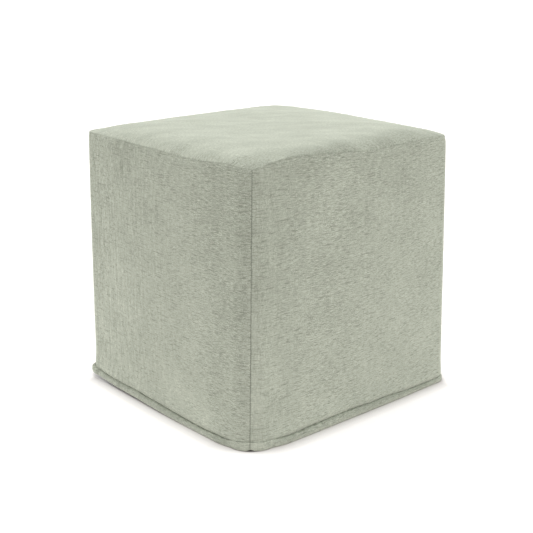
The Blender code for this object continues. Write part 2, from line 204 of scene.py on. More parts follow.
def panel_line(index, height, is_hem=False):
    """Plan places, outward directions and distances along the cloth of one panel's columns."""
    side, start, end = SIDES[index], CORNERS[index], CORNERS[(index + 1) % 4]
    up = min(max(height / SEAM_HEIGHT, 0.0), 1.0)
    along, outward = np.array(side["along"], float), np.array(side["outward"], float)

    def corner(row):
        out = row["spread"] * (1 - up) + (row["flare"] if is_hem else 0)
        grown = (row["floor_round"] - row["top_round"]) * (1 - up) ** ROUND_GROWTH
        rounding = row["hem_bend"] if is_hem else row["top_round"] + grown
        signs = np.array([row["sign_x"], row["sign_y"]])
        return signs * (np.array([WIDTH, DEPTH]) / 2 + out), rounding

    def arc(centre, rounding, turns, sense):
        direction = outward * np.cos(turns) + sense * along * np.sin(turns)
        return centre + direction * rounding, direction

    def bend(place, reach, turn, sense):
        direction = outward * (1 - turn) + sense * along * turn
        point = place - sense * along * reach * (1 - turn) ** 2 - outward * reach * turn**2
        return point, unit(direction)

    (start_place, start_round), (end_place, end_round) = corner(start), corner(end)
    first, last = start_place + along * start_round, end_place - along * end_round
    bow = FLOOR_BOW + (side["seam_bow"] - FLOOR_BOW) * (1 - (1 - up) ** BOW_GROWTH)
    bow += SIDE_BOW * (1 - abs(2 * up - 1) ** 3)
    step = np.linspace(0, 1, FLAT_COLUMNS + 1)[:, None]
    flat = first + (last - first) * step + outward * bow * (1 - (2 * step - 1) ** 2) ** BOW_POWER
    slope = unit(np.gradient(flat, axis=0))
    square = np.stack([slope[:, 1], -slope[:, 0]], axis=1)
    head_shares = (1 - ARC_FRACTIONS)[:, None]
    tail_shares = head_shares[::-1]
    if is_hem:
        head, head_out = bend(start_place, start_round, 0.5 * head_shares, -1)
        tail, tail_out = bend(end_place, end_round, 0.5 * tail_shares, +1)
    else:
        start_turn = math.radians(45 - start["drift"] * up)
        end_turn = math.radians(45 + end["drift"] * up)
        head, head_out = arc(first - outward * start_round, start_round, start_turn * head_shares, -1)
        tail, tail_out = arc(last - outward * end_round, end_round, end_turn * tail_shares, +1)
    places = np.concatenate([head, flat, tail])
    outs = np.concatenate([head_out, square, tail_out])
    lengths = np.concatenate([[0], np.cumsum(np.linalg.norm(np.diff(places, axis=0), axis=1))])
    return places, outs, lengths


print("columns to a panel:", len(panel_line(0, SEAM_HEIGHT)[0]))


# %% The line at any height
@functools.cache
def level_lines(index):
    """A panel's plan lines at many levels: the levels, the places and the directions."""
    levels = np.concatenate([
        np.linspace(0, 0.04, 9), np.linspace(0.05, SEAM_HEIGHT - 0.03, 34),
        np.linspace(SEAM_HEIGHT - 0.027, SEAM_HEIGHT, 10),
    ])
    lines = [panel_line(index, level) for level in levels]
    return levels, np.stack([line[0] for line in lines]), np.stack([line[1] for line in lines])


def line_at(index, heights):
    """Plan places and directions at heights, of which each column of the panel has its own row."""
    levels, places, outs = level_lines(index)
    heights = np.clip(heights, levels[0], levels[-1])
    low = np.clip(np.searchsorted(levels, heights, side="right") - 1, 0, len(levels) - 2)
    step = ((heights - levels[low]) / (levels[low + 1] - levels[low]))[:, :, None]
    column = np.arange(len(heights))[:, None]
    place = places[low, column] * (1 - step) + places[low + 1, column] * step
    return place, unit(outs[low, column] * (1 - step) + outs[low + 1, column] * step)


# The solids are centred on the floor, and this plan isn't yet: the seat's solid gives the shift.
seat_low, seat_high = (np.array(corner)[:2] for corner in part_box("seat_panel"))
seam_lines = [panel_line(index, SEAM_HEIGHT) for index in range(4)]
seam_points = np.concatenate([places - outs * TOP_TUCK for places, outs, _ in seam_lines])
PLAN_SHIFT = (seat_low + seat_high - seam_points.min(axis=0) - seam_points.max(axis=0)) / 2
print("plan shift:", PLAN_SHIFT.round(5))

# %% [markdown]
# ## Small unevenness
#
# Sewn cloth is never quite smooth: it gathers a little at each seam, and it lies in slow waves
# over a soft filling. Both come from smooth noise with a fixed seed, in one dimension along a seam
# or in two over a face. The few creases that are easy to pick out, beside the near corner's seam
# and over the hem, are listed one by one in a table.

# %% Smooth noise
def noise_along(distance, pitch, seed):
    """Smooth noise from -1 to 1 along a line, with about one bump in each pitch."""
    table = np.random.default_rng(seed).uniform(-1, 1, 256)
    at = np.asarray(distance) / pitch + 64
    low = np.floor(at).astype(int)
    step = smooth(at - low)
    return table[low % 256] * (1 - step) + table[(low + 1) % 256] * step


def noise_over(across, up, pitch_across, pitch_up, seed):
    """Smooth noise from -1 to 1 over a face."""
    table = np.random.default_rng(seed).uniform(-1, 1, (64, 64))
    a, b = np.asarray(across) / pitch_across + 32, np.asarray(up) / pitch_up + 32
    column, row = np.floor(a).astype(int), np.floor(b).astype(int)
    right, above = smooth(a - column), smooth(b - row)
    column, after = column % 64, (column + 1) % 64
    low, high = (
        table[column, line % 64] * (1 - right) + table[after, line % 64] * right
        for line in (row, row + 1)
    )
    return low * (1 - above) + high * above


def fades(distance, reach):
    """1 at a seam, and smoothly 0 at a reach from it."""
    return np.clip(1 - np.asarray(distance) / reach, 0, 1) ** 2


print("noise runs from -1 to 1:", noise_along([0.0, 0.5, 1.0], 1.0, 1).round(3))

# %% Listed creases
# The panel, the distance of the middle from its nearer upright seam (negative from its far end),
# the height, half the length, half the width, the slope, and the depth (in mm).
CREASES = (
    ("front_panel", -0.016, 0.036, 0.020, 0.0035, 0.02, 0.55),
    ("front_panel", -0.014, 0.058, 0.018, 0.0030, -0.04, 0.45),
    ("front_panel", -0.022, 0.083, 0.024, 0.0038, 0.05, 0.45),
    ("front_panel", -0.013, 0.112, 0.016, 0.0030, 0.00, 0.35),
    ("front_panel", -0.018, 0.150, 0.020, 0.0034, 0.06, 0.30),
    ("front_panel", -0.012, 0.402, 0.014, 0.0030, 0.35, 0.40),
    ("front_panel", -0.030, 0.412, 0.012, 0.0028, 0.60, 0.35),
    ("front_panel", -0.050, 0.030, 0.026, 0.0026, -0.04, 0.40),
    ("front_panel", 0.040, 0.033, 0.022, 0.0030, -0.05, 0.50),
    ("right_panel", 0.013, 0.045, 0.016, 0.0030, 0.03, 0.45),
    ("right_panel", 0.018, 0.068, 0.020, 0.0034, -0.02, 0.55),
    ("right_panel", 0.015, 0.095, 0.018, 0.0030, 0.05, 0.40),
    ("right_panel", 0.022, 0.128, 0.022, 0.0036, 0.02, 0.40),
    ("right_panel", 0.014, 0.168, 0.016, 0.0030, -0.03, 0.30),
    ("right_panel", 0.012, 0.404, 0.014, 0.0030, -0.30, 0.40),
    ("right_panel", 0.215, 0.419, 0.006, 0.0030, 0.00, 0.80),
    ("right_panel", -0.055, 0.030, 0.014, 0.0030, 0.10, 0.60),
    ("right_panel", 0.060, 0.030, 0.030, 0.0026, 0.04, 0.45),
    ("back_panel", 0.018, 0.070, 0.020, 0.0034, 0.02, 0.45),
    ("back_panel", -0.016, 0.120, 0.018, 0.0032, -0.03, 0.40),
    ("left_panel", 0.017, 0.090, 0.019, 0.0034, 0.03, 0.45),
    ("left_panel", -0.015, 0.055, 0.018, 0.0030, 0.00, 0.40),
)
LIP_SHARE = 0.45  # how high the cloth is pushed up on both sides of a crease, as a share of its depth


def creases_at(name, distance, height, length):
    """How far the hand-placed creases of a panel draw its face in, in metres."""
    depth = np.zeros(np.broadcast(distance, height).shape)
    for panel, middle, level, half_length, half_width, slope, millimetres in CREASES:
        if panel == name:
            along = distance - (middle if middle > 0 else length + middle)
            up = (height - level - slope * along) / half_width
            trough = np.exp(-up * up) - LIP_SHARE * np.exp(-((np.abs(up) - 1.9) ** 2))
            depth += 0.001 * millimetres * trough * np.exp(-1.5 * (along / half_length) ** 2)
    return depth


print("hand-placed creases:", len(CREASES))

# %% [markdown]
# ## A side panel, cut across
#
# A side panel is a sheet of cloth whose edges are sewn to its neighbours. Cut across, it is one
# closed line: down the outer face from the top seam, over a small bulge into the crease of the
# hem, round the flattened roll of the hem, and up again inside. Drawing that line gives the real
# thickness and the rolled hem without any modifier. The outer face turns under at all its edges,
# so two neighbours meet in a fine groove.

# %% Edges and hem, cut across
TOP_TURN = 0.00045  # the radius with which the cloth turns under at the top seam
END_TURN = 0.0006  # and at an upright seam
EDGE_STEPS = 0.001 * np.array([
    0, 0.12, 0.3, 0.6, 1.0, 1.5, 2.2, 3.2, 4.6, 6.4, 8.6, 11.2, 14.2, 17.6, 21.5,
])  # the rows nearest to a sewn edge
ROW_STEP = 0.0031  # and between the others
INNER_ROWS = 16
SEWN_GAP = 0.00008  # half of what stays open between the sides and the seat
# The cloth over the hem's seam: the height above it, how far the cloth hangs out there in the
# middle of a panel, and how far it does so at the panel's ends.
OVERHANG_ABOVE = 0.001 * np.array([0, 0.4, 0.9, 1.6, 2.6, 4.0, 6.0, 8.5, 12.0, 17.0, 24.0, 34.0])
OVERHANG_MIDDLE = 0.001 * np.array([-0.8, -0.1, 0.7, 1.5, 2.4, 3.1, 3.5, 3.4, 2.9, 1.9, 0.8, 0])
OVERHANG_END = 0.001 * np.array([-1.0, -0.4, 0.1, 0.5, 0.8, 1.0, 1.1, 1.0, 0.8, 0.5, 0.2, 0])
OVERHANG_REACH = 0.070
# The hem cut across, from its seam down to its edge: the share of its height, the share of the
# way out from the seam to its face, and how far behind that it lies. It is pressed flat along
# most of a panel, and stays a round roll at the loose corner.
HEM_PRESSED = np.array([
    (1.00, 0.00, 0.0006), (0.96, 0.24, 0.0001), (0.90, 0.50, 0), (0.82, 0.74, 0), (0.72, 0.88, 0),
    (0.58, 0.96, 0), (0.44, 1.00, 0), (0.30, 1.01, 0), (0.17, 1.00, 0), (0.08, 1.00, 0.0003),
    (0.02, 1.00, 0.0010), (0.00, 1.00, 0.0020), (0.06, 1.00, 0.0042), (0.20, 1.00, 0.0050),
    (0.80, 1.00, 0.0050),
])
HEM_ROLLED = np.array([
    (0.88, 0.30, 0.0026), (0.97, 0.62, 0.0012), (1.02, 0.80, 0.0004), (0.98, 0.97, 0),
    (0.88, 1.04, 0), (0.72, 1.08, 0), (0.54, 1.10, 0), (0.36, 1.08, 0), (0.20, 1.02, 0),
    (0.09, 0.94, 0.0003), (0.02, 0.84, 0.0010), (0.00, 0.72, 0.0020), (0.06, 0.80, 0.0042),
    (0.20, 1.00, 0.0050), (0.70, 1.00, 0.0050),
])
HEM_FACE = 0.003  # what lies further back than this is inside the hem
CREASE_ROWS = 4  # the rows of the hem's crease, which is shallow where the hem is pressed flat
HEM_LEVEL = 0.013  # the height at which the cloth behind the hem is taken
HEM_BEND_SHARE = 0.75  # how far along the hem a corner's bend is felt, as a share of the bend
INSIDE_HEM = 0.0012  # how much further in the first row inside the hem lies
LEAST_PROUD = 0.0015  # the least that the hem stands out
LOOSE_REACH, FLAT_REACH, CRISP_REACH = 0.045, 0.055, 0.050  # of the corners that look different
CRISP_SHARE = 0.7  # how much less the crisp corner is tucked in
FLAT_SHARE = 0.85  # how much less the cloth hangs out over the flat corner's hem
GAPE, GAPE_REACH = 1.3, 0.024  # how much deeper the top seam's groove is at the flat corner, and how far
print("rows to the hem:", len(HEM_PRESSED))

# %% [markdown]
# ## What happens at a seam or a corner
#
# Much of a panel's form depends on how near a seam is: the cloth turns under, gathers and is drawn
# in, and at three corners it does so in its own way. These helpers turn a distance into a share.

# %% Seams and corners
def end_share(to_edge, reach):
    """1 at an upright seam and smoothly 0 at a reach from it."""
    return 1 - smooth_step(to_edge, 0, reach)


def from_corner(corner, index, lengths):
    """How far a panel's columns are from the seam of a corner, endless if it doesn't end there."""
    if index == corner:
        return lengths
    return lengths[-1] - lengths if (index + 1) % 4 == corner else np.full(len(lengths), np.inf)


def turned_under(distance, radius):
    """How far an outer face is drawn in at a distance from its sewn edge."""
    return radius - np.sqrt(np.maximum(radius**2 - np.maximum(radius - distance, 0) ** 2, 0))


def seam_depth(along, seed):
    """How deep the top seam's groove is along it: here it almost closes, there it gapes."""
    noise = noise_along(along, 0.019, seed) + 0.4 * noise_along(along, 0.006, seed + 1)
    return 0.5 + 0.6 * np.clip(noise, -0.8, 1)


def top_tuck(index, lengths):
    """How far the top seam pulls the cloth in: less at the crisp corner."""
    crisp = end_share(from_corner(CRISP_CORNER, index, lengths), CRISP_REACH)
    return TOP_TUCK * (1 - CRISP_SHARE * crisp)


def tucked(index, lengths, below):
    """The same at depths below the top seam."""
    return top_tuck(index, lengths)[:, None] * np.maximum(1 - below / TUCK_HEIGHT, 0) ** 3


print("a corner's share halfway to its reach:", end_share(0.02, 0.04))

# %% [markdown]
# ## The outer face
#
# The face starts on the plan line and is then moved out and in: slack stretches, the tuck at the
# top, the overhang over the hem, slow waves, gathers, creases, and the turned-under edges.

# %% The relief of a side's outer face
SIDE_WAVES = ((0.00055, 0.085, 0.110), (0.00025, 0.040, 0.036))  # depth, pitch along and up a side
CALM_REACH = 0.05  # how near a seam the waves die out
# Gathers at the top seam: how deep, how far down they reach, and their pitch.
TOP_GATHERS = ((0.00042, 0.016, 0.0052), (0.00030, 0.045, 0.016))
# Level gathers beside the upright seams: the same, and the height below which they get deeper.
SIDE_GATHERS = (0.00034, 0.028, 0.0062, 0.25)
# Gathers over the hem's seam: how deep, their pitch, their height, and half of the band's width.
HEM_GATHERS = (0.00030, 0.011, 0.028, 0.010)


def face_relief(index, distance, height, below, to_edge, total):
    """The waves, puckers and creases of a side's outer face, in metres outwards."""
    seed = 100 + 10 * index
    calm = np.clip(to_edge / CALM_REACH, 0, 1) * np.clip(below / CALM_REACH, 0, 1)
    relief = -creases_at(SIDES[index]["name"], distance, height, total)
    for extra, (deep, along, up) in enumerate(SIDE_WAVES):
        relief += deep * calm * noise_over(distance, height, along, up, seed + extra)
    for extra, (deep, reach, pitch) in enumerate(TOP_GATHERS, 2):
        relief += deep * fades(below, reach) * noise_along(distance, pitch, seed + extra)
    deep, reach, pitch, low_down = SIDE_GATHERS
    low = 0.4 + 0.6 * np.clip(1 - height / low_down, 0, 1)
    ripples = [noise_along(height, pitch, seed + extra) for extra in (4, 5)]
    relief += deep * low * fades(to_edge, reach) * np.where(distance < total / 2, *ripples)
    deep, pitch, level, half_width = HEM_GATHERS
    over = np.exp(-(((height - level) / half_width) ** 2))
    return relief + deep * over * noise_along(distance, pitch, seed + 6)


print("8 mm under a seam, gathers keep", fades(0.008, 0.016).round(2), "of their depth")

# %% The outer face
USUAL_CREASE = 0.0140  # the height of the hem's seam that the number of rows is worked out from


def outer_face(index, lengths, seam, crease):
    """The outer face from the top seam down to the hem's seam: an array (columns, rows, 3)."""
    top, low = seam[:, None] - EDGE_STEPS, crease[:, None] + OVERHANG_ABOVE[::-1]
    count = round((SEAM_HEIGHT - EDGE_STEPS[-1] - USUAL_CREASE - OVERHANG_ABOVE[-1]) / ROW_STEP)
    middle = top[:, -1:] + (low[:, :1] - top[:, -1:]) * np.arange(1, count) / count
    heights = np.concatenate([top, middle, low], axis=1)
    places, outs = line_at(index, heights * SEAM_HEIGHT / seam[:, None])

    distance, up, total = lengths[:, None], heights / SEAM_HEIGHT, lengths[-1]
    to_edge = np.minimum(distance, total - distance)
    below, above = seam[:, None] - heights, heights - crease[:, None]
    inside = np.sin(np.pi * distance / total) * np.sin(np.pi * np.clip(up, 0, 1))
    phase = SIDES[index]["slack_phase"]
    wave = 0.5 + 0.5 * np.sin(SLACK_ALONG * distance / total + SLACK_UP * up + phase)
    relief = SLACK * inside * wave - tucked(index, lengths, below)
    hang = np.interp(above, OVERHANG_ABOVE, OVERHANG_MIDDLE)
    at_end = np.interp(above, OVERHANG_ABOVE, OVERHANG_END)
    hang += (at_end - hang) * end_share(to_edge, OVERHANG_REACH)
    near = from_corner(FLAT_CORNER, index, lengths)
    relief += hang * (1 - FLAT_SHARE * end_share(near, FLAT_REACH)[:, None])
    relief += face_relief(index, distance, heights, below, to_edge, total)
    groove = seam_depth(lengths, 61 + index) * (1 + GAPE * end_share(near, GAPE_REACH))
    relief -= turned_under(below, TOP_TURN) * groove[:, None] + turned_under(to_edge, END_TURN)
    return np.dstack([places + outs * relief[:, :, None], heights])


front = panel_line(0, SEAM_HEIGHT)[2]
front_seam, front_crease = np.full(len(front), SEAM_HEIGHT), np.full(len(front), USUAL_CREASE)
print("columns and rows:", outer_face(0, front, front_seam, front_crease).shape[:2])

# %% [markdown]
# ## The hem and the inner face
#
# The hem is turned up twice, so it is thicker than the cloth and stands out from it. Its rows
# blend from the pressed shape to the rolled one near the loose corner. The inner face follows the
# outer one at the thickness of the cloth, plainly, because nobody sees it.

# %% The hem and the inner face
def hem_fold(index, lengths, crease, lift):
    """The flattened roll of the hem, from its seam round its edge to its inside."""
    body, body_out, _ = panel_line(index, HEM_LEVEL)
    raw = np.einsum("ij,ij->i", panel_line(index, 0.0, is_hem=True)[0] - body, body_out)
    # How far the hem stands out from the cloth above it: an even change from corner to corner,
    # and an eased one where the hem bends round each corner.
    head, tail = len(ARC_FRACTIONS), -1 - len(ARC_FRACTIONS)
    proud = np.interp(lengths, lengths[[head, tail]], raw[[head, tail]])
    for end, inner, corner in ((0, head, index), (-1, tail, (index + 1) % 4)):
        reach = HEM_BEND_SHARE * CORNERS[corner]["hem_bend"]
        proud += (raw[end] - raw[inner]) * end_share(np.abs(lengths - lengths[end]), reach)
    proud = np.maximum(proud, LEAST_PROUD) + 0.0004 * noise_along(lengths, 0.045, 51 + index)
    flat = end_share(from_corner(FLAT_CORNER, index, lengths), FLAT_REACH)
    loose = np.clip(1 - from_corner(LOOSE_CORNER, index, lengths) / LOOSE_REACH, 0, 1)
    edge_draw = turned_under(np.minimum(lengths, lengths[-1] - lengths), END_TURN)
    rows = []
    for row, (pressed, rolled) in enumerate(zip(HEM_PRESSED, HEM_ROLLED)):
        up, way, back = pressed[:, None] + (rolled - pressed)[:, None] * loose
        if row < CREASE_ROWS:
            way, back = way + (0.9 - way) * flat, back * (1 - 0.8 * flat)
        depth = proud * way - back - edge_draw * (pressed[2] < HEM_FACE)
        rows.append(np.column_stack([body + body_out * depth[:, None], lift + up * (crease - lift)]))
    return np.stack(rows, axis=1)


def inner_face(index, lengths, seam, crease):
    """The inner face, from inside the hem up to the top seam."""
    heights = crease[:, None] + (seam - crease)[:, None] * np.linspace(0, 1, INNER_ROWS)
    places, outs = line_at(index, heights * SEAM_HEIGHT / seam[:, None])
    draw = CLOTH + tucked(index, lengths, seam[:, None] - heights)
    draw[:, 0] += INSIDE_HEM
    return np.dstack([places - outs * draw[:, :, None], heights])


print("rows of the inner face:", INNER_ROWS)

# %% [markdown]
# ## Skin and finish a sheet
#
# The rings of points become a mesh with one quad between each pair of neighbours, and the two ends
# are closed. Each corner of a face gets a UV in metres, the distance along the cloth and the
# height, so that the weave follows the panel round its corners instead of sliding over them. What
# a material has to know about a place, such as how the nap lies, is kept as a number on each point.

# %% Skin and finish a sheet
def skinned(rings, count, first=0):
    """Quads between closed rings of points that follow each other in the list of points."""
    low = first + np.arange(rings - 1)[:, None] * count
    here, after = low + np.arange(count), low + (np.arange(count) + 1) % count
    return np.stack([here, here + count, after + count, after], axis=2).reshape(-1, 4).tolist()


def make_piece(name, vertices, faces, uvs):
    """A smooth mesh object at the origin, its faces outwards, with a UV map in metres."""
    mesh = bpy.data.meshes.new(name)
    mesh.from_pydata(vertices.tolist(), [], faces)
    loops = np.zeros(len(mesh.loops), np.int32)
    mesh.loops.foreach_get("vertex_index", loops)
    layer = mesh.uv_layers.new(name="cloth_metres")
    layer.data.foreach_set("uv", np.asarray(uvs, np.float32)[loops].ravel())
    work = bmesh.new()
    work.from_mesh(mesh)
    bmesh.ops.recalc_face_normals(work, faces=work.faces[:])
    if work.calc_volume(signed=True) < 0:
        bmesh.ops.reverse_faces(work, faces=work.faces[:])
    work.to_mesh(mesh)
    work.free()
    mesh.shade_smooth()
    piece = bpy.data.objects.new(name, mesh)
    scene.collection.objects.link(piece)
    return piece


def keep_on_points(mesh, name, values):
    """Keeps a number on every point of a mesh, for its material to read."""
    layer = mesh.attributes.new(name, "FLOAT", "POINT")
    layer.data.foreach_set("value", np.asarray(values, np.float32))


print("faces between 2 rings of 4 points:", len(skinned(2, 4)))

# %% [markdown]
# ## Darker and paler places
#
# Some places of the cloth are darker and others paler, in steps of the cloth's colours, and a
# positive number is darker. Soft spots are listed in a table. The rest is painted shade and painted
# light: shade in the near corner's seam and light beside it, shade under the cloth that hangs over
# the hem with light at its lower edge, and on the seat shade along the seam and light all over.

# %% Darker and paler places, with painted shade and light
# The panel, the distance from its start, the height, half the length, half the height, how much.
SHADES = (
    ("front_panel", 0.125, 0.405, 0.045, 0.035, 0.09),
    ("front_panel", 0.290, 0.385, 0.035, 0.050, -0.08),
    ("front_panel", 0.255, 0.045, 0.060, 0.040, -0.10),
    ("front_panel", 0.350, 0.085, 0.030, 0.050, 0.08),
    ("front_panel", 0.020, 0.050, 0.030, 0.050, -0.05),
    ("front_panel", 0.330, 0.028, 0.040, 0.030, -0.13),
    ("front_panel", 0.145, 0.320, 0.050, 0.075, 0.045),
    ("front_panel", 0.290, 0.270, 0.030, 0.035, -0.045),
    ("right_panel", 0.130, 0.370, 0.040, 0.060, -0.09),
    ("right_panel", 0.110, 0.190, 0.040, 0.040, 0.05),
    ("right_panel", 0.400, 0.250, 0.030, 0.180, -0.05),
    ("right_panel", 0.055, 0.092, 0.025, 0.035, 0.075),
    ("right_panel", 0.090, 0.310, 0.035, 0.035, -0.055),
    ("right_panel", 0.345, 0.195, 0.040, 0.060, 0.05),
)
# Painted shade in the groove of the near corner's seam and a little way off it, and painted
# light just beside it, by the distance from the seam: on its right and on its left.
AFTER_SEAM = (
    (0.0, 0.05), (0.0004, 0.04), (0.0013, -0.12), (0.007, -0.10), (0.014, -0.04), (0.024, 0.03),
    (0.060, 0.03), (0.100, 0.0),
)
BEFORE_SEAM = (
    (0.0, 0.05), (0.0004, 0.04), (0.0013, -0.09), (0.008, -0.06), (0.016, 0.0), (0.026, 0.05),
    (0.060, 0.06), (0.100, 0.0),
)
# Painted shade on the hem, by the share of its height: darker under the cloth that hangs over
# its seam, with painted light at its lower edge, and painted light where it is pressed flat.
HEM_SHADE = ((0.00, -0.10), (0.18, -0.12), (0.40, 0.06), (0.70, 0.17), (1.05, 0.12))
FLAT_HEM_SHADE = -0.17


def nap_and_painted_shading(index, lengths, heights):
    """How much darker a side panel's points are: spots, and painted shade and light."""
    pressed = np.zeros(heights.shape)
    for panel, middle, level, half_length, half_height, darker in SHADES:
        if panel == SIDES[index]["name"]:
            across, up = (lengths - middle) / half_length, (heights - level) / half_height
            pressed += darker * np.exp(-(across**2)[:, None] - up**2)
    near = from_corner(FLAT_CORNER, index, lengths)
    if near[0] < np.inf:
        band = AFTER_SEAM if index == FLAT_CORNER else BEFORE_SEAM
        pressed += eased(band, np.clip(near, 0, 0.1))[:, None]
    flat = end_share(near, FLAT_REACH)[:, None]
    hem = slice(-INNER_ROWS - len(HEM_PRESSED), -INNER_ROWS)
    pressed[:, hem] += eased(HEM_SHADE, HEM_PRESSED[:, 0]) * (1 - flat) + FLAT_HEM_SHADE * flat
    return pressed


print("soft spots:", len(SHADES))

# %% [markdown]
# ## The four sides
#
# Now a side is its table rows, its three faces joined to a ring at every column, its skin and its
# numbers. Some stretches of the yarn stand upright instead of level, as the brush left them.

# %% Build the sides
def build_side(index):
    name = SIDES[index]["name"]
    lengths = panel_line(index, SEAM_HEIGHT)[2]
    share = lengths / lengths[-1]
    seam = SEAM_HEIGHT + eased(SEAM_RISE[name], share) - SEWN_GAP
    crease = eased(HEM[name], share, 1) + 0.0004 * noise_along(lengths, 0.035, 31 + index)
    lift = eased(HEM[name], share, 2) + 0.0002 * np.abs(noise_along(lengths, 0.050, 41 + index))
    ring = np.concatenate([
        outer_face(index, lengths, seam, crease),
        hem_fold(index, lengths, crease, lift),
        inner_face(index, lengths, seam, crease),
    ], axis=1)
    ring[:, :, :2] += PLAN_SHIFT
    columns, size = ring.shape[:2]
    vertices = ring.reshape(-1, 3)
    ends = [list(range(start, start + size)) for start in (0, (columns - 1) * size)]
    uvs = np.column_stack([np.repeat(lengths - lengths[-1] / 2, size), vertices[:, 2]])
    piece = make_piece(name + "_cloth", vertices, skinned(columns, size) + ends, uvs)
    upright = 0.35 + 0.65 * noise_along(lengths, 0.13, 81 + index)
    if name == "front_panel":
        upright = 1.25 - lengths / 0.27
    keep_on_points(piece.data, "upright_yarn", np.repeat(np.clip(upright, 0, 1), size))
    keep_on_points(piece.data, "nap_and_painted_shading", nap_and_painted_shading(index, lengths, ring[:, :, 2]).ravel())
    print(piece.name, len(vertices), "points")
    return piece


side_pieces = [build_side(index) for index in range(4)]

# %% [markdown]
# ## The seat
#
# The seat is the fifth panel. It rolls over steeply at the two seams that take the most wear, and
# more gently at the other two, and its middle is crowned by the filling. It is made of rings that
# run parallel to the top seam, close together at the seam and wider apart inside, because the
# puckers live at the seam. The rim has a round nose that turns under, to match the sides.

# %% The form of the seat
SEAT_LIP = 0.0005  # the rise of the nose at the seam
SEAT_STEPS = np.concatenate([
    EDGE_STEPS, np.arange(0.0255, 0.100, 0.0042), np.arange(0.104, 0.214, 0.0085),
])
SEAT_UNDER_STEPS = (0.0032, 0.0075, 0.015, 0.03, 0.055, 0.10, 0.16)
SEAT_REACH = 0.2195  # from the seam to the middle
FULL_CORNER = (-0.180, 0.190, 0.042, 0.0034)  # the place, the reach and the height of a fuller spot
SEAT_PAINTED_PALER = 0.035  # how much paler than the sides the seat is painted: painted light from above
# Painted shade along the seam, where the seat rolls over: how much darker, at shares of the way round.
SEAT_SEAM_SHADE = (
    (0.00, 0.02), (0.08, -0.02), (0.16, -0.02), (0.215, -0.01), (0.238, 0.02), (0.250, 0.07),
    (0.262, 0.10), (0.275, 0.12), (0.305, 0.20), (0.345, 0.25), (0.370, 0.14), (0.400, 0.11),
    (0.450, 0.17), (0.500, 0.24), (0.530, 0.12), (0.580, 0.04), (1.00, 0.02),
)


def seat_line():
    """The top seam all round: places, outward directions, its rise and the distance along it."""
    parts, so_far = [], 0.0
    for index, side in enumerate(SIDES):
        place, out, lengths = panel_line(index, SEAM_HEIGHT)
        rise = eased(SEAM_RISE[side["name"]], lengths / lengths[-1])
        place = place - out * top_tuck(index, lengths)[:, None]
        parts.append([values[:-1] for values in (place, out, rise, lengths + so_far)])
        so_far += lengths[-1]
    return [np.concatenate(values) for values in zip(*parts)]


def seat_height(rim, ring, rise):
    """The height of the seat at a share of the way from the middle to the rim."""
    front, right, back, left = SIDES
    across, deep = ((np.abs(rim) / rim.max(axis=0)) ** CORNER_BLEND).T
    sideways = across / (across + deep)

    def mixed(column):
        beside = np.where(rim[:, 0] > 0, right[column], left[column])
        ahead = np.where(rim[:, 1] > 0, back[column], front[column])
        return ahead + (beside - ahead) * sideways

    fall = mixed("seat_round") * (1 + CORNER_FALL * 4 * sideways * (1 - sideways))
    height = SEAM_HEIGHT + CROWN * (1 - ring ** mixed("seat_power")) ** fall + rise * ring**SEAM_SPREAD
    # The filling stands a little fuller under the far corner.
    x, y, reach, fuller = FULL_CORNER
    far = np.hypot(rim[:, 0] * ring - x, rim[:, 1] * ring - y) / reach
    return height + fuller * np.exp(-far * far) * (1 - ring**SEAM_SPREAD)


rim, rim_outs, rim_rise, rim_along = seat_line()
print("points round the seat:", len(rim))

# %% The rings of the seat
# Gathers along the seam: how deep, how far they reach, where they start, their pitch, the seed.
SEAT_GATHERS = ((0.00045, 0.020, 0.002, 0.0052, 102), (0.00035, 0.060, 0.006, 0.017, 202))
SEAT_WAVES = ((0.0007, 0.075, 203), (0.0003, 0.034, 204))  # how deep, the pitch, the seed
SEAT_CALM = 0.04  # how near the seam the waves die out
# The lower face: how much further down it lies than one cloth, and at the seam how far it is
# drawn in, how much thinner the cloth is there, and how far in that reaches.
UNDER_GAP, UNDER_DRAW, UNDER_THINNER, UNDER_REACH = 0.0006, 0.0014, 0.2, 0.02


def seat_ring(distance):
    """The upper ring at a distance from the seam, with its puckers and waves."""
    ring = 1 - distance / SEAT_REACH
    place = rim * ring
    place = place - rim_outs * (turned_under(distance, TOP_TURN) * seam_depth(rim_along, 71))[:, None]
    z = seat_height(rim, ring, rim_rise)
    z = z + SEAT_LIP * math.sqrt(1 - (1 - min(distance / SEAT_LIP, 1)) ** 2)
    for deep, reach, start, pitch, seed in SEAT_GATHERS:
        shown = fades(distance, reach) * (1 - fades(distance, start))
        z = z + deep * shown * noise_along(rim_along, pitch, seed)
    calm = min(distance / SEAT_CALM, 1)
    for deep, pitch, seed in SEAT_WAVES:
        z = z + deep * calm * noise_over(place[:, 0], place[:, 1], pitch, pitch, seed)
    return np.column_stack([place, z])


def seat_under_ring(distance):
    """The lower ring at a distance from the seam, one cloth below the upper face."""
    ring = 1 - distance / SEAT_REACH
    steep = np.clip(1 - distance / UNDER_REACH, 0, 1)
    lower = UNDER_GAP + CLOTH * (1 - UNDER_THINNER * steep)
    z = seat_height(rim, ring, rim_rise) + SEAT_LIP - lower
    return np.column_stack([rim * ring - rim_outs * (UNDER_DRAW * steep), z])


seam_line = seat_ring(0.0)[:, 2]
print("the seam is", seam_line.min().round(4), "to", seam_line.max().round(4), "m high")

# %% Build the seat
SEAM_SHADE_FROM, SEAM_SHADE_TO = 0.010, 0.042  # the distances over which the painted shade at the seam fades
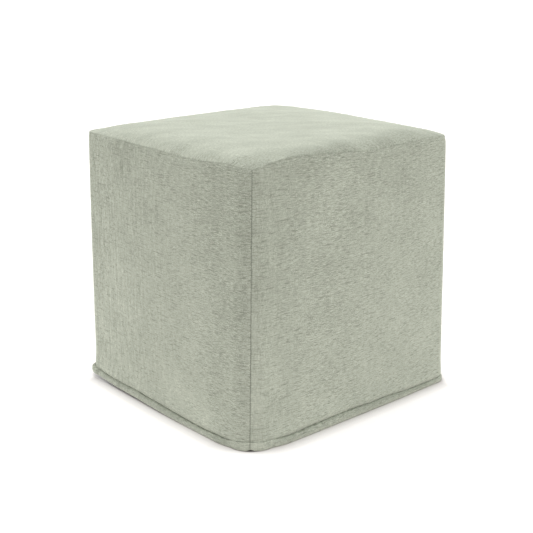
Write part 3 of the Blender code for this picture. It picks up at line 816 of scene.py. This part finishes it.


def build_seat():
    rings = [seat_ring(distance) for distance in SEAT_STEPS]
    rings[0][:, 2] += SEWN_GAP
    nose = np.column_stack([rim - rim_outs * CLOTH, rings[0][:, 2]])
    middle = np.array([[0, 0, SEAM_HEIGHT + CROWN]])
    under = [nose] + [seat_under_ring(distance) for distance in SEAT_UNDER_STEPS]
    vertices = np.concatenate([middle, *rings[::-1], *under, middle - [0, 0, CLOTH]])
    vertices[:, :2] += PLAN_SHIFT
    count, levels = len(rim), len(rings) + len(under)
    turn = np.arange(count)
    after, last, bottom = (turn + 1) % count, 1 + (levels - 1) * count, 1 + levels * count
    faces = np.column_stack([np.zeros(count, int), 1 + turn, 1 + after]).tolist()
    faces += skinned(levels, count, first=1)
    faces += np.column_stack([last + after, last + turn, np.full(count, bottom)]).tolist()
    piece = make_piece("seat_cloth", vertices, faces, vertices[:, 1::-1])
    # Painted shade along the seam where the seat rolls over, and painted light over the whole seat.
    most = eased(SEAT_SEAM_SHADE, rim_along / rim_along[-1])
    pressed = np.zeros(len(vertices))
    pressed[0] = -SEAT_PAINTED_PALER
    for level, distance in enumerate(SEAT_STEPS[::-1]):
        at_ring = slice(1 + level * count, 1 + (level + 1) * count)
        fading = 1 - smooth_step(distance, SEAM_SHADE_FROM, SEAM_SHADE_TO)
        pressed[at_ring] = most * fading - SEAT_PAINTED_PALER
    keep_on_points(piece.data, "nap_and_painted_shading", pressed)
    print("seat:", len(vertices), "points, top at", vertices[:, 2].max().round(4))
    return piece


seat_piece = build_seat()

# %% [markdown]
# ## The filled block
#
# Under the cover is a filled cube in a dark casing. Only a dark notch and a hairline of it show
# under the hem, and its underside. It is stuffed, so it is made as a cushion is: its solid is
# remeshed into small even faces, drawn in a little, and blown up by the cloth simulation. Nothing
# holds it there, so left alone it would swell far past the cover, and how far each point may move
# is capped. Every point reaches that cap here, as the print below shows: the simulation only says
# which way each point goes, and the cap says how far.

# %% Helpers for the simulation
BLOCK_FRAMES = 20


def apply_modifiers(piece):
    evaluated = piece.evaluated_get(bpy.context.evaluated_depsgraph_get())
    mesh = bpy.data.meshes.new_from_object(evaluated)
    piece.modifiers.clear()
    piece.data = mesh


def read_points(piece, what="co"):
    values = np.zeros(len(piece.data.vertices) * 3)
    piece.data.vertices.foreach_get(what, values)
    return values.reshape(-1, 3)


def blow_up(piece):
    """Swells a piece by an even pressure, for a number of frames."""
    cloth = piece.modifiers.new("casing", "CLOTH")
    settings = cloth.settings
    settings.quality = 4
    settings.mass = 0.3
    settings.tension_stiffness = settings.compression_stiffness = 30
    settings.bending_stiffness = 2
    settings.use_pressure = True
    settings.uniform_pressure_force = 4
    settings.effector_weights.gravity = 0
    cloth.collision_settings.use_collision = False
    for step in range(1, BLOCK_FRAMES + 1):
        scene.frame_set(step)
    apply_modifiers(piece)
    scene.frame_set(1)


print("frames of swelling:", BLOCK_FRAMES)

# %% Blow up the block
BLOCK_VOXEL = 0.009
BLOCK_START = 0.0035  # how far the block is drawn in before it swells
BLOCK_CAP = 0.0030  # how far a point may move
START_LOWEST, LOWEST = 0.0004, 0.0002  # how near the floor its underside may come, before and after


def swollen_block():
    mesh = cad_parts["filled_block"].data.copy()
    work = bmesh.new()
    work.from_mesh(mesh)
    bmesh.ops.remove_doubles(work, verts=work.verts[:], dist=0.00001)
    work.to_mesh(mesh)
    work.free()
    piece = bpy.data.objects.new("filled_block_casing", mesh)
    scene.collection.objects.link(piece)
    remesh = piece.modifiers.new("even_faces", "REMESH")
    remesh.mode = "VOXEL"
    remesh.voxel_size = BLOCK_VOXEL
    apply_modifiers(piece)
    start = read_points(piece) - read_points(piece, "normal") * BLOCK_START
    start[:, 2] = np.maximum(start[:, 2], START_LOWEST)
    piece.data.vertices.foreach_set("co", start.ravel())
    blow_up(piece)
    move = read_points(piece) - start
    far = np.linalg.norm(move, axis=1, keepdims=True)
    final = start + move * np.minimum(1, BLOCK_CAP / np.maximum(far, 1e-9))
    final[:, 2] = np.maximum(final[:, 2], LOWEST)
    piece.data.vertices.foreach_set("co", final.ravel())
    piece.data.shade_smooth()
    print("block:", len(final), "points, uncapped they would move up to", far.max().round(4), "m")
    print("share of them held at the cap:", (far > BLOCK_CAP).mean().round(3))
    return piece


block_piece = swollen_block()

# %% [markdown]
# ## Node helpers
#
# A material is a tree of nodes. The same few steps come back in all of them: noise that is
# stretched by a scale, a sum or product, a smooth step between two values, colours along a factor,
# and relief as bump. Each is a helper, so that the trees below read as recipes.

# %% Trees, sockets and noise
def new_material(name):
    material = bpy.data.materials.new(name)
    material.use_nodes = True
    return material, material.node_tree, material.node_tree.nodes["Principled BSDF"]


def set_inputs(node, values):
    for name, value in values.items():
        node.inputs[name].default_value = value


def mapped(tree, vector, name, value):
    """A vector that is scaled or turned."""
    node = tree.nodes.new("ShaderNodeMapping")
    node.inputs[name].default_value = value
    tree.links.new(vector, node.inputs["Vector"])
    return node.outputs["Vector"]


def noise_node(tree, vector, scale, detail=2.0, roughness=0.5):
    """Noise on a vector that is stretched by a scale for each axis."""
    noise = tree.nodes.new("ShaderNodeTexNoise")
    set_inputs(noise, {"Scale": 1.0, "Detail": detail, "Roughness": roughness})
    tree.links.new(mapped(tree, vector, "Scale", scale), noise.inputs["Vector"])
    return noise.outputs["Fac"]


def number_on_points(tree, name):
    node = tree.nodes.new("ShaderNodeAttribute")
    node.attribute_name = name
    return node.outputs["Fac"]


def maths(tree, operation, *values):
    """One operation on sockets and numbers."""
    node = tree.nodes.new("ShaderNodeMath")
    node.operation = operation
    for socket, value in zip(node.inputs, values):
        if isinstance(value, (int, float)):
            socket.default_value = value
        else:
            tree.links.new(value, socket)
    return node.outputs[0]


print("materials so far:", len(bpy.data.materials))

# %% Steps, colours and relief
def between(tree, value, low, high):
    """0 up to a low value, 1 from a high one, and smooth in between."""
    node = tree.nodes.new("ShaderNodeMapRange")
    node.interpolation_type = "SMOOTHSTEP"
    set_inputs(node, {"From Min": low, "From Max": high})
    tree.links.new(value, node.inputs["Value"])
    return node.outputs["Result"]


def coloured(tree, shader, factor, *colours):
    """Colours a shader by a factor, from the first colour at 0 to the last at 1."""
    ramp = tree.nodes.new("ShaderNodeValToRGB")
    stops = ramp.color_ramp.elements
    stops[0].color, stops[1].color = (*colours[0], 1), (*colours[-1], 1)
    for step, colour in enumerate(colours[1:-1], 1):
        stops.new(step / (len(colours) - 1)).color = (*colour, 1)
    tree.links.new(factor, ramp.inputs["Fac"])
    tree.links.new(ramp.outputs["Color"], shader.inputs["Base Color"])


def raised(tree, shader, height, strength, distance):
    """Gives a shader a fine relief."""
    bump = tree.nodes.new("ShaderNodeBump")
    set_inputs(bump, {"Strength": strength, "Distance": distance})
    tree.links.new(height, bump.inputs["Height"])
    tree.links.new(bump.outputs["Normal"], shader.inputs["Normal"])


print("a quarter of the way, a smooth step is at", smooth_step(0.25, 0, 1))

# %% [markdown]
# ## Cloth, by nodes
#
# The cover is a woven melange: yarns of mixed pale and dark fibre that lie level, thicker here and
# thinner there, brushed so that a short nap stands up. Up close it is flecked, and from a step
# away it is cloudy. Each of these is one layer of noise on the cloth's own UVs, stretched along
# the yarn, and all of them push one factor up and down between three colours of the same green.
# The ridges of the weave are bump, because they are under a millimetre high.

# %% A cloth material
DARK, MIDDLE, PALE = (0.197, 0.212, 0.167), (0.350, 0.371, 0.305), (0.540, 0.567, 0.474)


def cloth_material(name, flecks, threads, patches, painted_paler_below, sheen, bump):
    """Flecks, single dark threads and cloudy patches, in the columns that the tables below name."""
    material, tree, shader = new_material(name)
    uv = tree.nodes.new("ShaderNodeUVMap")
    uv.uv_map = "cloth_metres"
    place = uv.outputs["UV"]
    upright = number_on_points(tree, "upright_yarn")
    level = maths(tree, "SUBTRACT", 1.0, upright)
    # Flecks are stronger in some stretches than in others, where the nap hides them.
    shown = maths(tree, "MULTIPLY_ADD", noise_node(tree, place, (26, 40, 1)), 1.1, 0.45)
    layers = []
    for along, across, detail, weight, is_upright in flecks:
        noise = maths(tree, "SUBTRACT", noise_node(tree, place, (along, across, 1), detail), 0.5)
        where = maths(tree, "MULTIPLY", upright if is_upright else level, shown)
        layers.append((maths(tree, "MULTIPLY", noise, where), weight))
    for along, across, weight in threads:
        thread = between(tree, noise_node(tree, place, (along, across, 1)), 0.56, 0.72)
        layers.append((maths(tree, "MULTIPLY", thread, shown), -weight))
    for turn, across, deep, weight in patches:
        turned = mapped(tree, place, "Rotation", (0, 0, math.radians(turn)))
        cloud = noise_node(tree, turned, (across, deep, 1))
        layers.append((maths(tree, "SUBTRACT", cloud, 0.5), weight))
    # The number on the points darkens or pales the cloth: spots, and painted shade and light.
    factor = maths(tree, "SUBTRACT", 0.5, number_on_points(tree, "nap_and_painted_shading"))
    for layer, weight in layers:
        factor = maths(tree, "MULTIPLY_ADD", layer, weight, factor)
    # Painted light: lower down a side is painted paler, and higher up darker.
    if painted_paler_below:
        height = tree.nodes.new("ShaderNodeSeparateXYZ")
        tree.links.new(place, height.inputs["Vector"])
        above = maths(tree, "SUBTRACT", height.outputs["Y"], SEAM_HEIGHT / 2)
        factor = maths(tree, "MULTIPLY_ADD", above, -painted_paler_below, factor)
    coloured(tree, shader, factor, DARK, MIDDLE, PALE)
    # The weave: level yarns, crossed by finer ones that bind them.
    yarn = noise_node(tree, place, (170, 880, 1), 2.0, 0.6)
    binder = noise_node(tree, place, (760, 300, 1), 1.0)
    weave = maths(tree, "MULTIPLY_ADD", binder, 0.5, yarn)
    raised(tree, shader, maths(tree, "ADD", weave, layers[0][0]), bump, 0.0008)
    tree.links.new(maths(tree, "MULTIPLY_ADD", yarn, 0.12, 0.82), shader.inputs["Roughness"])
    set_inputs(shader, {
        "Specular IOR Level": 0.15, "Sheen Weight": sheen, "Sheen Roughness": 0.45,
        "Sheen Tint": (0.90, 0.94, 0.82, 1),
    })
    return material


print("the cover's greens:", DARK, MIDDLE, PALE)

# %% The two cloths
# Flecks: bumps for each metre along the yarn and across it, the detail, the weight, and whether
# they belong to yarn that the brush left upright. Threads: the bumps both ways and the weight.
SIDE_FLECKS = (
    (130, 760, 3.0, 1.40, False),
    (520, 900, 2.0, 1.30, False),
    (50, 230, 1.0, 0.30, False),
    (520, 150, 3.0, 1.20, True),
    (420, 520, 2.0, 0.90, True),
    (210, 22, 2.0, 0.80, True),
)
SIDE_THREADS = ((70, 560, 0.35), (34, 480, 0.25))
SEAT_FLECKS = ((230, 380, 3.0, 0.95, False), (520, 640, 2.0, 0.95, False))
SEAT_THREADS = ((60, 400, 0.20),)
# Patches: how far they are turned, in degrees, the bumps for each metre both ways, and the weight.
SIDE_PATCHES = ((0, 14, 17, 0.30), (0, 5, 5, 0.15), (0, 70, 90, 0.20))
SEAT_PATCHES = ((-42, 13, 30, 0.60), (-42, 34, 56, 0.36), (0, 6, 6, 0.14))
side_cloth = cloth_material("side_cloth", SIDE_FLECKS, SIDE_THREADS, SIDE_PATCHES, 0.50, 0.40, 0.3)
seat_cloth = cloth_material("seat_cloth", SEAT_FLECKS, SEAT_THREADS, SEAT_PATCHES, 0.0, 0.55, 0.18)
print("nodes of the side cloth:", len(side_cloth.node_tree.nodes))

# %% [markdown]
# ## Casing and thread
#
# The casing of the block is a plain black cloth, and the thread is spun from the cover's own
# greens. Each is one fine noise between two colours, read in the object's own metres.

# %% Plain fibres
def fibre_material(name, bumps, detail, low, high, roughness, bump=0.0):
    material, tree, shader = new_material(name)
    place = tree.nodes.new("ShaderNodeTexCoord").outputs["Object"]
    fibre = noise_node(tree, place, (bumps, bumps, bumps), detail)
    coloured(tree, shader, fibre, low, high)
    if bump:
        raised(tree, shader, fibre, bump, 0.0004)
    shader.inputs["Roughness"].default_value = roughness
    return material


casing = fibre_material("black_casing", 900, 2.0, (0.004,) * 3, (0.020, 0.020, 0.021), 0.85, 0.3)
cover_thread = fibre_material("cover_thread", 2500, 1.0, DARK, MIDDLE, 0.6)
for piece in side_pieces:
    piece.data.materials.append(side_cloth)
seat_piece.data.materials.append(seat_cloth)
block_piece.data.materials.clear()
block_piece.data.materials.append(casing)
print("materials:", [material.name for material in bpy.data.materials])

# %% [markdown]
# ## The sewing thread
#
# Rows of sewing hold the cover together where it shows: short ladder stitches deep in the grooves
# between the panels, and a running stitch in the crease of the hem. Geometry Nodes lay them along
# a curve: the curve is resampled to one point for each stitch, a small thread is put on every
# point, turned along the curve, and the instances are made real.

# %% A tree that lays stitches along a line
def stitch_tree(material):
    tree = bpy.data.node_groups.new("stitches_along_a_line", "GeometryNodeTree")
    face, new = tree.interface, tree.nodes.new
    face.new_socket("Line", in_out="INPUT", socket_type="NodeSocketGeometry")
    sizes = {"Pitch": 0.005, "Length": 0.0036, "Thickness": 0.0005, "Unevenness": 0.2}
    for name, value in sizes.items():
        face.new_socket(name, in_out="INPUT", socket_type="NodeSocketFloat").default_value = value
    face.new_socket("Stitches", in_out="OUTPUT", socket_type="NodeSocketGeometry")
    given, result = new("NodeGroupInput").outputs, new("NodeGroupOutput")
    curve, spaced = new("GeometryNodeMeshToCurve"), new("GeometryNodeResampleCurve")
    spaced.mode = "LENGTH"
    thread, shaped = new("GeometryNodeMeshUVSphere"), new("GeometryNodeTransform")
    set_inputs(thread, {"Segments": 6, "Rings": 5, "Radius": 0.5})
    size, tangent = new("ShaderNodeCombineXYZ"), new("GeometryNodeInputTangent")
    outward = new("GeometryNodeInputNamedAttribute")
    outward.data_type = "FLOAT_VECTOR"
    set_inputs(outward, {"Name": "outward"})
    turned = new("FunctionNodeAxesToRotation")
    turned.primary_axis, turned.secondary_axis = "Z", "X"
    wobble = new("FunctionNodeRandomValue")
    wobble.data_type = "FLOAT"
    set_inputs(wobble, {"Seed": 7})
    least, most = [socket for socket in wobble.inputs if socket.type == "VALUE"][:2]
    uneven = next(socket for socket in wobble.outputs if socket.type == "VALUE")
    placed, real = new("GeometryNodeInstanceOnPoints"), new("GeometryNodeRealizeInstances")
    painted = new("GeometryNodeSetMaterial")
    set_inputs(painted, {"Material": material})
    for start, end in (
        (given["Line"], curve.inputs["Mesh"]),
        (curve.outputs["Curve"], spaced.inputs["Curve"]),
        (given["Pitch"], spaced.inputs["Length"]),
        (given["Thickness"], size.inputs["X"]),
        (given["Thickness"], size.inputs["Y"]),
        (given["Length"], size.inputs["Z"]),
        (thread.outputs["Mesh"], shaped.inputs["Geometry"]),
        (size.outputs["Vector"], shaped.inputs["Scale"]),
        (maths(tree, "SUBTRACT", 1.0, given["Unevenness"]), least),
        (maths(tree, "ADD", 1.0, given["Unevenness"]), most),
        (tangent.outputs["Tangent"], turned.inputs["Primary Axis"]),
        (outward.outputs["Attribute"], turned.inputs["Secondary Axis"]),
        (spaced.outputs["Curve"], placed.inputs["Points"]),
        (shaped.outputs["Geometry"], placed.inputs["Instance"]),
        (turned.outputs["Rotation"], placed.inputs["Rotation"]),
        (uneven, placed.inputs["Scale"]),
        (placed.outputs["Instances"], real.inputs["Geometry"]),
        (real.outputs["Geometry"], painted.inputs["Geometry"]),
        (painted.outputs["Geometry"], result.inputs["Stitches"]),
    ):
        tree.links.new(start, end)
    return tree


stitches = stitch_tree(cover_thread)
print("nodes that lay a stitch:", len(stitches.nodes))

# %% Put the stitches on lines
def stitched(name, lines, tree, **sizes):
    """One mesh of stitches along lines, each a pair of points and outward directions."""
    points, outs = (np.concatenate(values) for values in zip(*lines))
    edges, first = [], 0
    for line, _ in lines:
        edges += [(first + i, first + i + 1) for i in range(len(line) - 1)]
        first += len(line)
    mesh = bpy.data.meshes.new(name + "_line")
    mesh.from_pydata(points.tolist(), edges, [])
    outward = mesh.attributes.new("outward", "FLOAT_VECTOR", "POINT")
    outward.data.foreach_set("vector", outs.astype(np.float32).ravel())
    piece = bpy.data.objects.new(name, mesh)
    scene.collection.objects.link(piece)
    modifier = piece.modifiers.new("stitches", "NODES")
    modifier.node_group = tree
    for item in tree.interface.items_tree:
        if item.item_type == "SOCKET" and item.in_out == "INPUT" and item.name in sizes:
            modifier[item.identifier] = sizes[item.name]
    apply_modifiers(piece)
    piece.data.shade_smooth()
    print(name, len(piece.data.polygons), "faces")
    return piece


print("the sizes of a row:", [item.name for item in stitches.interface.items_tree][2:])

# %% [markdown]
# ## Where the thread runs
#
# The lines are worked out from the same plan line and tables as the cloth, so each row of sewing
# lies down in its own groove: along the crease of the hem, up between two sides, and round the top.

# %% Lay the stitches
THREAD_PROUD = 0.0001  # how far the hem's thread stands out from the deepest cloth of the crease
THREAD_BELOW = 0.0002  # and how far it lies below the crease
UNSEWN = 6  # the columns at each end of a hem that have no thread
GROOVE_SHARE = 0.95  # how deep in a groove its thread lies, as a share of the turned edge's radius
UPRIGHT_FROM, UPRIGHT_TO = 0.022, SEAM_HEIGHT - 0.004  # the heights of the upright rows


def in_space(outs):
    """Directions of the plan as level directions in space."""
    return np.column_stack([outs, np.zeros(len(outs))])


def hem_lines():
    """Lines down in the crease of each hem."""
    lines, sewn = [], slice(UNSEWN, -UNSEWN)
    for index, side in enumerate(SIDES):
        lengths = panel_line(index, SEAM_HEIGHT)[2]
        height = eased(HEM[side["name"]], lengths / lengths[-1])
        place, out = (values[:, 0] for values in line_at(index, height[:, None]))
        place = place + PLAN_SHIFT + out * (OVERHANG_END[0] + THREAD_PROUD)
        point = np.column_stack([place, height - THREAD_BELOW])
        lines.append((point[sewn], in_space(out)[sewn]))
    return lines


def upright_lines():
    """Lines down in the groove between each two side panels."""
    heights = np.linspace(UPRIGHT_FROM, UPRIGHT_TO, 60)
    tuck = TOP_TUCK * np.maximum(1 - (SEAM_HEIGHT - heights) / TUCK_HEIGHT, 0) ** 3
    lines = []
    for index in range(4):
        starts = [[values[0] for values in panel_line(index, height)[:2]] for height in heights]
        place, out = np.array(starts).transpose(1, 0, 2)
        place = place - out * (END_TURN * GROOVE_SHARE + tuck)[:, None] + PLAN_SHIFT
        lines.append((np.column_stack([place, heights]), in_space(out)))
    return lines


def top_line():
    """The line down in the groove of the top seam, closed."""
    place = rim - rim_outs * (TOP_TURN * GROOVE_SHARE) + PLAN_SHIFT
    point, out = np.column_stack([place, SEAM_HEIGHT + rim_rise]), in_space(rim_outs)
    return [(np.concatenate([point, point[:1]]), np.concatenate([out, out[:1]]))]


ladder = {"Pitch": 0.0036, "Length": 0.0030, "Thickness": 0.0005}
thread_pieces = [
    stitched("hem_stitches", hem_lines(), stitches, Pitch=0.0058, Length=0.0040, Thickness=0.0006),
    stitched("upright_seam_stitches", upright_lines(), stitches, **ladder),
    stitched("top_seam_stitches", top_line(), stitches, **ladder),
]

# %% [markdown]
# ## Riding
#
# Nothing on a stool moves, so every piece rides on the one body. Each panel and the block take the
# place of their own solid, which is hidden.


def declare(piece, node):
    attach(piece, "root")
    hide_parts(node)


declare(block_piece, "filled_block")
for index, piece in enumerate(side_pieces):
    declare(piece, SIDES[index]["name"])
    length = panel_line(index, SEAM_HEIGHT)[2][-1]
declare(seat_piece, "seat_panel")
for piece in thread_pieces:
    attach(piece, "root")

# %% [markdown]
# ## The floor
#
# The stool stands in an even white studio, on a floor bright enough to burn out to white. The floor
# glows a little, but not at the stool's foot, and its colour is darker there: a short painted shadow
# round the hem. It is a mesh of rings round the foot, so that each of its points can say how far
# from the hem it is.

# %% Floor
VIEW_YAW = math.radians(48.352)  # the way the camera looks, turned from the front panel's normal
FLOOR_GLOW = 0.27  # the floor's glow, which fades out close to the hem as a painted shadow
GLOW_STARTS, GLOW_FULL = 0.001, 0.030  # distances from the hem
FLOOR_SHADOW_ENDS = 0.012  # the distance from the hem at which the floor's painted shadow ends
LIT_THROUGH = 0.026  # painted light: the glow starts sooner under the lifted hem of the left corner
FLOOR_RINGS = (0, 0.002, 0.004, 0.007, 0.011, 0.016, 0.022, 0.030)
SIDE_LIT = 1.8  # how much sooner the shadow ends on the left and the right
FLOOR_REACH = 100  # the last ring is this many times as large as the one before it


def floor_material():
    material, tree, shader = new_material("studio_floor")
    away = number_on_points(tree, "away_from_hem")
    # Painted shadow: the floor's colour is darker close to the hem.
    pale = between(tree, away, 0.0, FLOOR_SHADOW_ENDS)
    coloured(tree, shader, pale, (0.735, 0.702, 0.690), (0.815, 0.792, 0.780))
    glow = maths(tree, "MULTIPLY", between(tree, away, GLOW_STARTS, GLOW_FULL), FLOOR_GLOW)
    tree.links.new(glow, shader.inputs["Emission Strength"])
    set_inputs(shader, {"Emission Color": (1, 1, 1, 1), "Roughness": 0.9, "Specular IOR Level": 0})
    return material


def build_floor():
    """A flat floor in rings round the foot of the stool, each point with its distance from it."""
    foot = [panel_line(index, 0.0, is_hem=True) for index in range(4)]
    edge = np.concatenate([places[:-1] for places, _, _ in foot]) + PLAN_SHIFT
    outs = np.concatenate([outs[:-1] for _, outs, _ in foot])
    rings = [edge + outs * distance for distance in FLOOR_RINGS]
    rings.append(rings[-1] * FLOOR_REACH)
    # The painted shadow is shorter on the left and the right.
    sideways = outs @ (math.cos(VIEW_YAW), math.sin(VIEW_YAW))
    nearer = 1 + SIDE_LIT * smooth_step(np.abs(sideways), 0.72, 1.0)
    through = LIT_THROUGH * smooth_step(-sideways, 0.75, 1.0)
    away = np.concatenate([nearer * distance + through for distance in (*FLOOR_RINGS, GLOW_FULL)])
    points = np.column_stack([np.concatenate(rings), np.zeros(len(away))])
    mesh = bpy.data.meshes.new("studio_floor")
    faces = [list(range(len(edge)))] + skinned(len(rings), len(edge))
    mesh.from_pydata(points.tolist(), [], faces)
    keep_on_points(mesh, "away_from_hem", away)
    mesh.materials.append(floor_material())
    piece = bpy.data.objects.new("studio_floor", mesh)
    scene.collection.objects.link(piece)
    return piece


floor = build_floor()
print("floor:", len(floor.data.vertices), "points")

# %% [markdown]
# ## The light
#
# Soft light from above makes the seat the lightest part, and a large soft panel stands on either
# hand. The side towards the camera gets the least light, so the near corner is the darkest upright
# line. A sun lamp with a wide angle is such a panel, and it is as strong at any distance.

# %% Light
AMBIENT = 0.34
# Soft panels: how far from straight above, which way in degrees left of the camera, the strength
# and how many degrees wide.
PANELS = {
    "panel_above": (0, 0, 1.90, 50),
    "panel_behind": (60, 125, 0.80, 50),
    "panel_left": (70, 90, 1.02, 50),
    "panel_right": (70, -90, 1.65, 50),
}


def soft_panel(name, lean, direction, strength, width):
    """A wide, distant light that shines on the stool from a direction."""
    light = bpy.data.lights.new(name, "SUN")
    light.energy, light.angle = strength, math.radians(width)
    holder = bpy.data.objects.new(name, light)
    lean, turn = math.radians(lean), VIEW_YAW - math.radians(direction)
    across = math.sin(lean)
    shining = Vector((-math.sin(turn) * across, math.cos(turn) * across, -math.cos(lean)))
    holder.rotation_euler = shining.to_track_quat("-Z", "Y").to_euler()
    scene.collection.objects.link(holder)


for name, values in PANELS.items():
    soft_panel(name, *values)
scene.world = bpy.data.worlds.new("studio")
scene.world.use_nodes = True
background = scene.world.node_tree.nodes["Background"]
set_inputs(background, {"Color": (1, 1, 1, 1), "Strength": AMBIENT})
print("soft panels:", len(PANELS))

# %% [markdown]
# ## The camera
#
# The camera looks down a little from the near corner, with a long lens, which keeps the upright
# edges almost parallel. The view isn't graded, so the greens stay as they are set above.

# %% Camera
FOCAL_LENGTH = 79.16  # in mm, on a sensor 36 mm wide
CAMERA_DISTANCE = 1.9956
CAMERA_RISE = math.radians(16.293)
CAMERA_PITCH = math.radians(16.694)
CAMERA_ROLL = math.radians(0.134)
CAMERA_TURN = math.radians(48.315)
LOOKED_AT = Vector((-0.00292, 0.00170, 0.216))
camera_data = bpy.data.cameras.new("camera")
camera_data.lens, camera_data.sensor_width = FOCAL_LENGTH, 36.0
camera = bpy.data.objects.new("camera", camera_data)
back = CAMERA_DISTANCE * math.cos(CAMERA_RISE)
up = CAMERA_DISTANCE * math.sin(CAMERA_RISE)
camera.location = LOOKED_AT + Vector((math.sin(VIEW_YAW) * back, -math.cos(VIEW_YAW) * back, up))
camera.rotation_euler = (
    Matrix.Rotation(CAMERA_TURN, 3, "Z")
    @ Matrix.Rotation(math.pi / 2 - CAMERA_PITCH, 3, "X")
    @ Matrix.Rotation(CAMERA_ROLL, 3, "Z")
).to_euler()
scene.collection.objects.link(camera)
scene.camera = camera
scene.view_settings.view_transform = "Standard"
print("camera at", [round(x, 3) for x in camera.location])
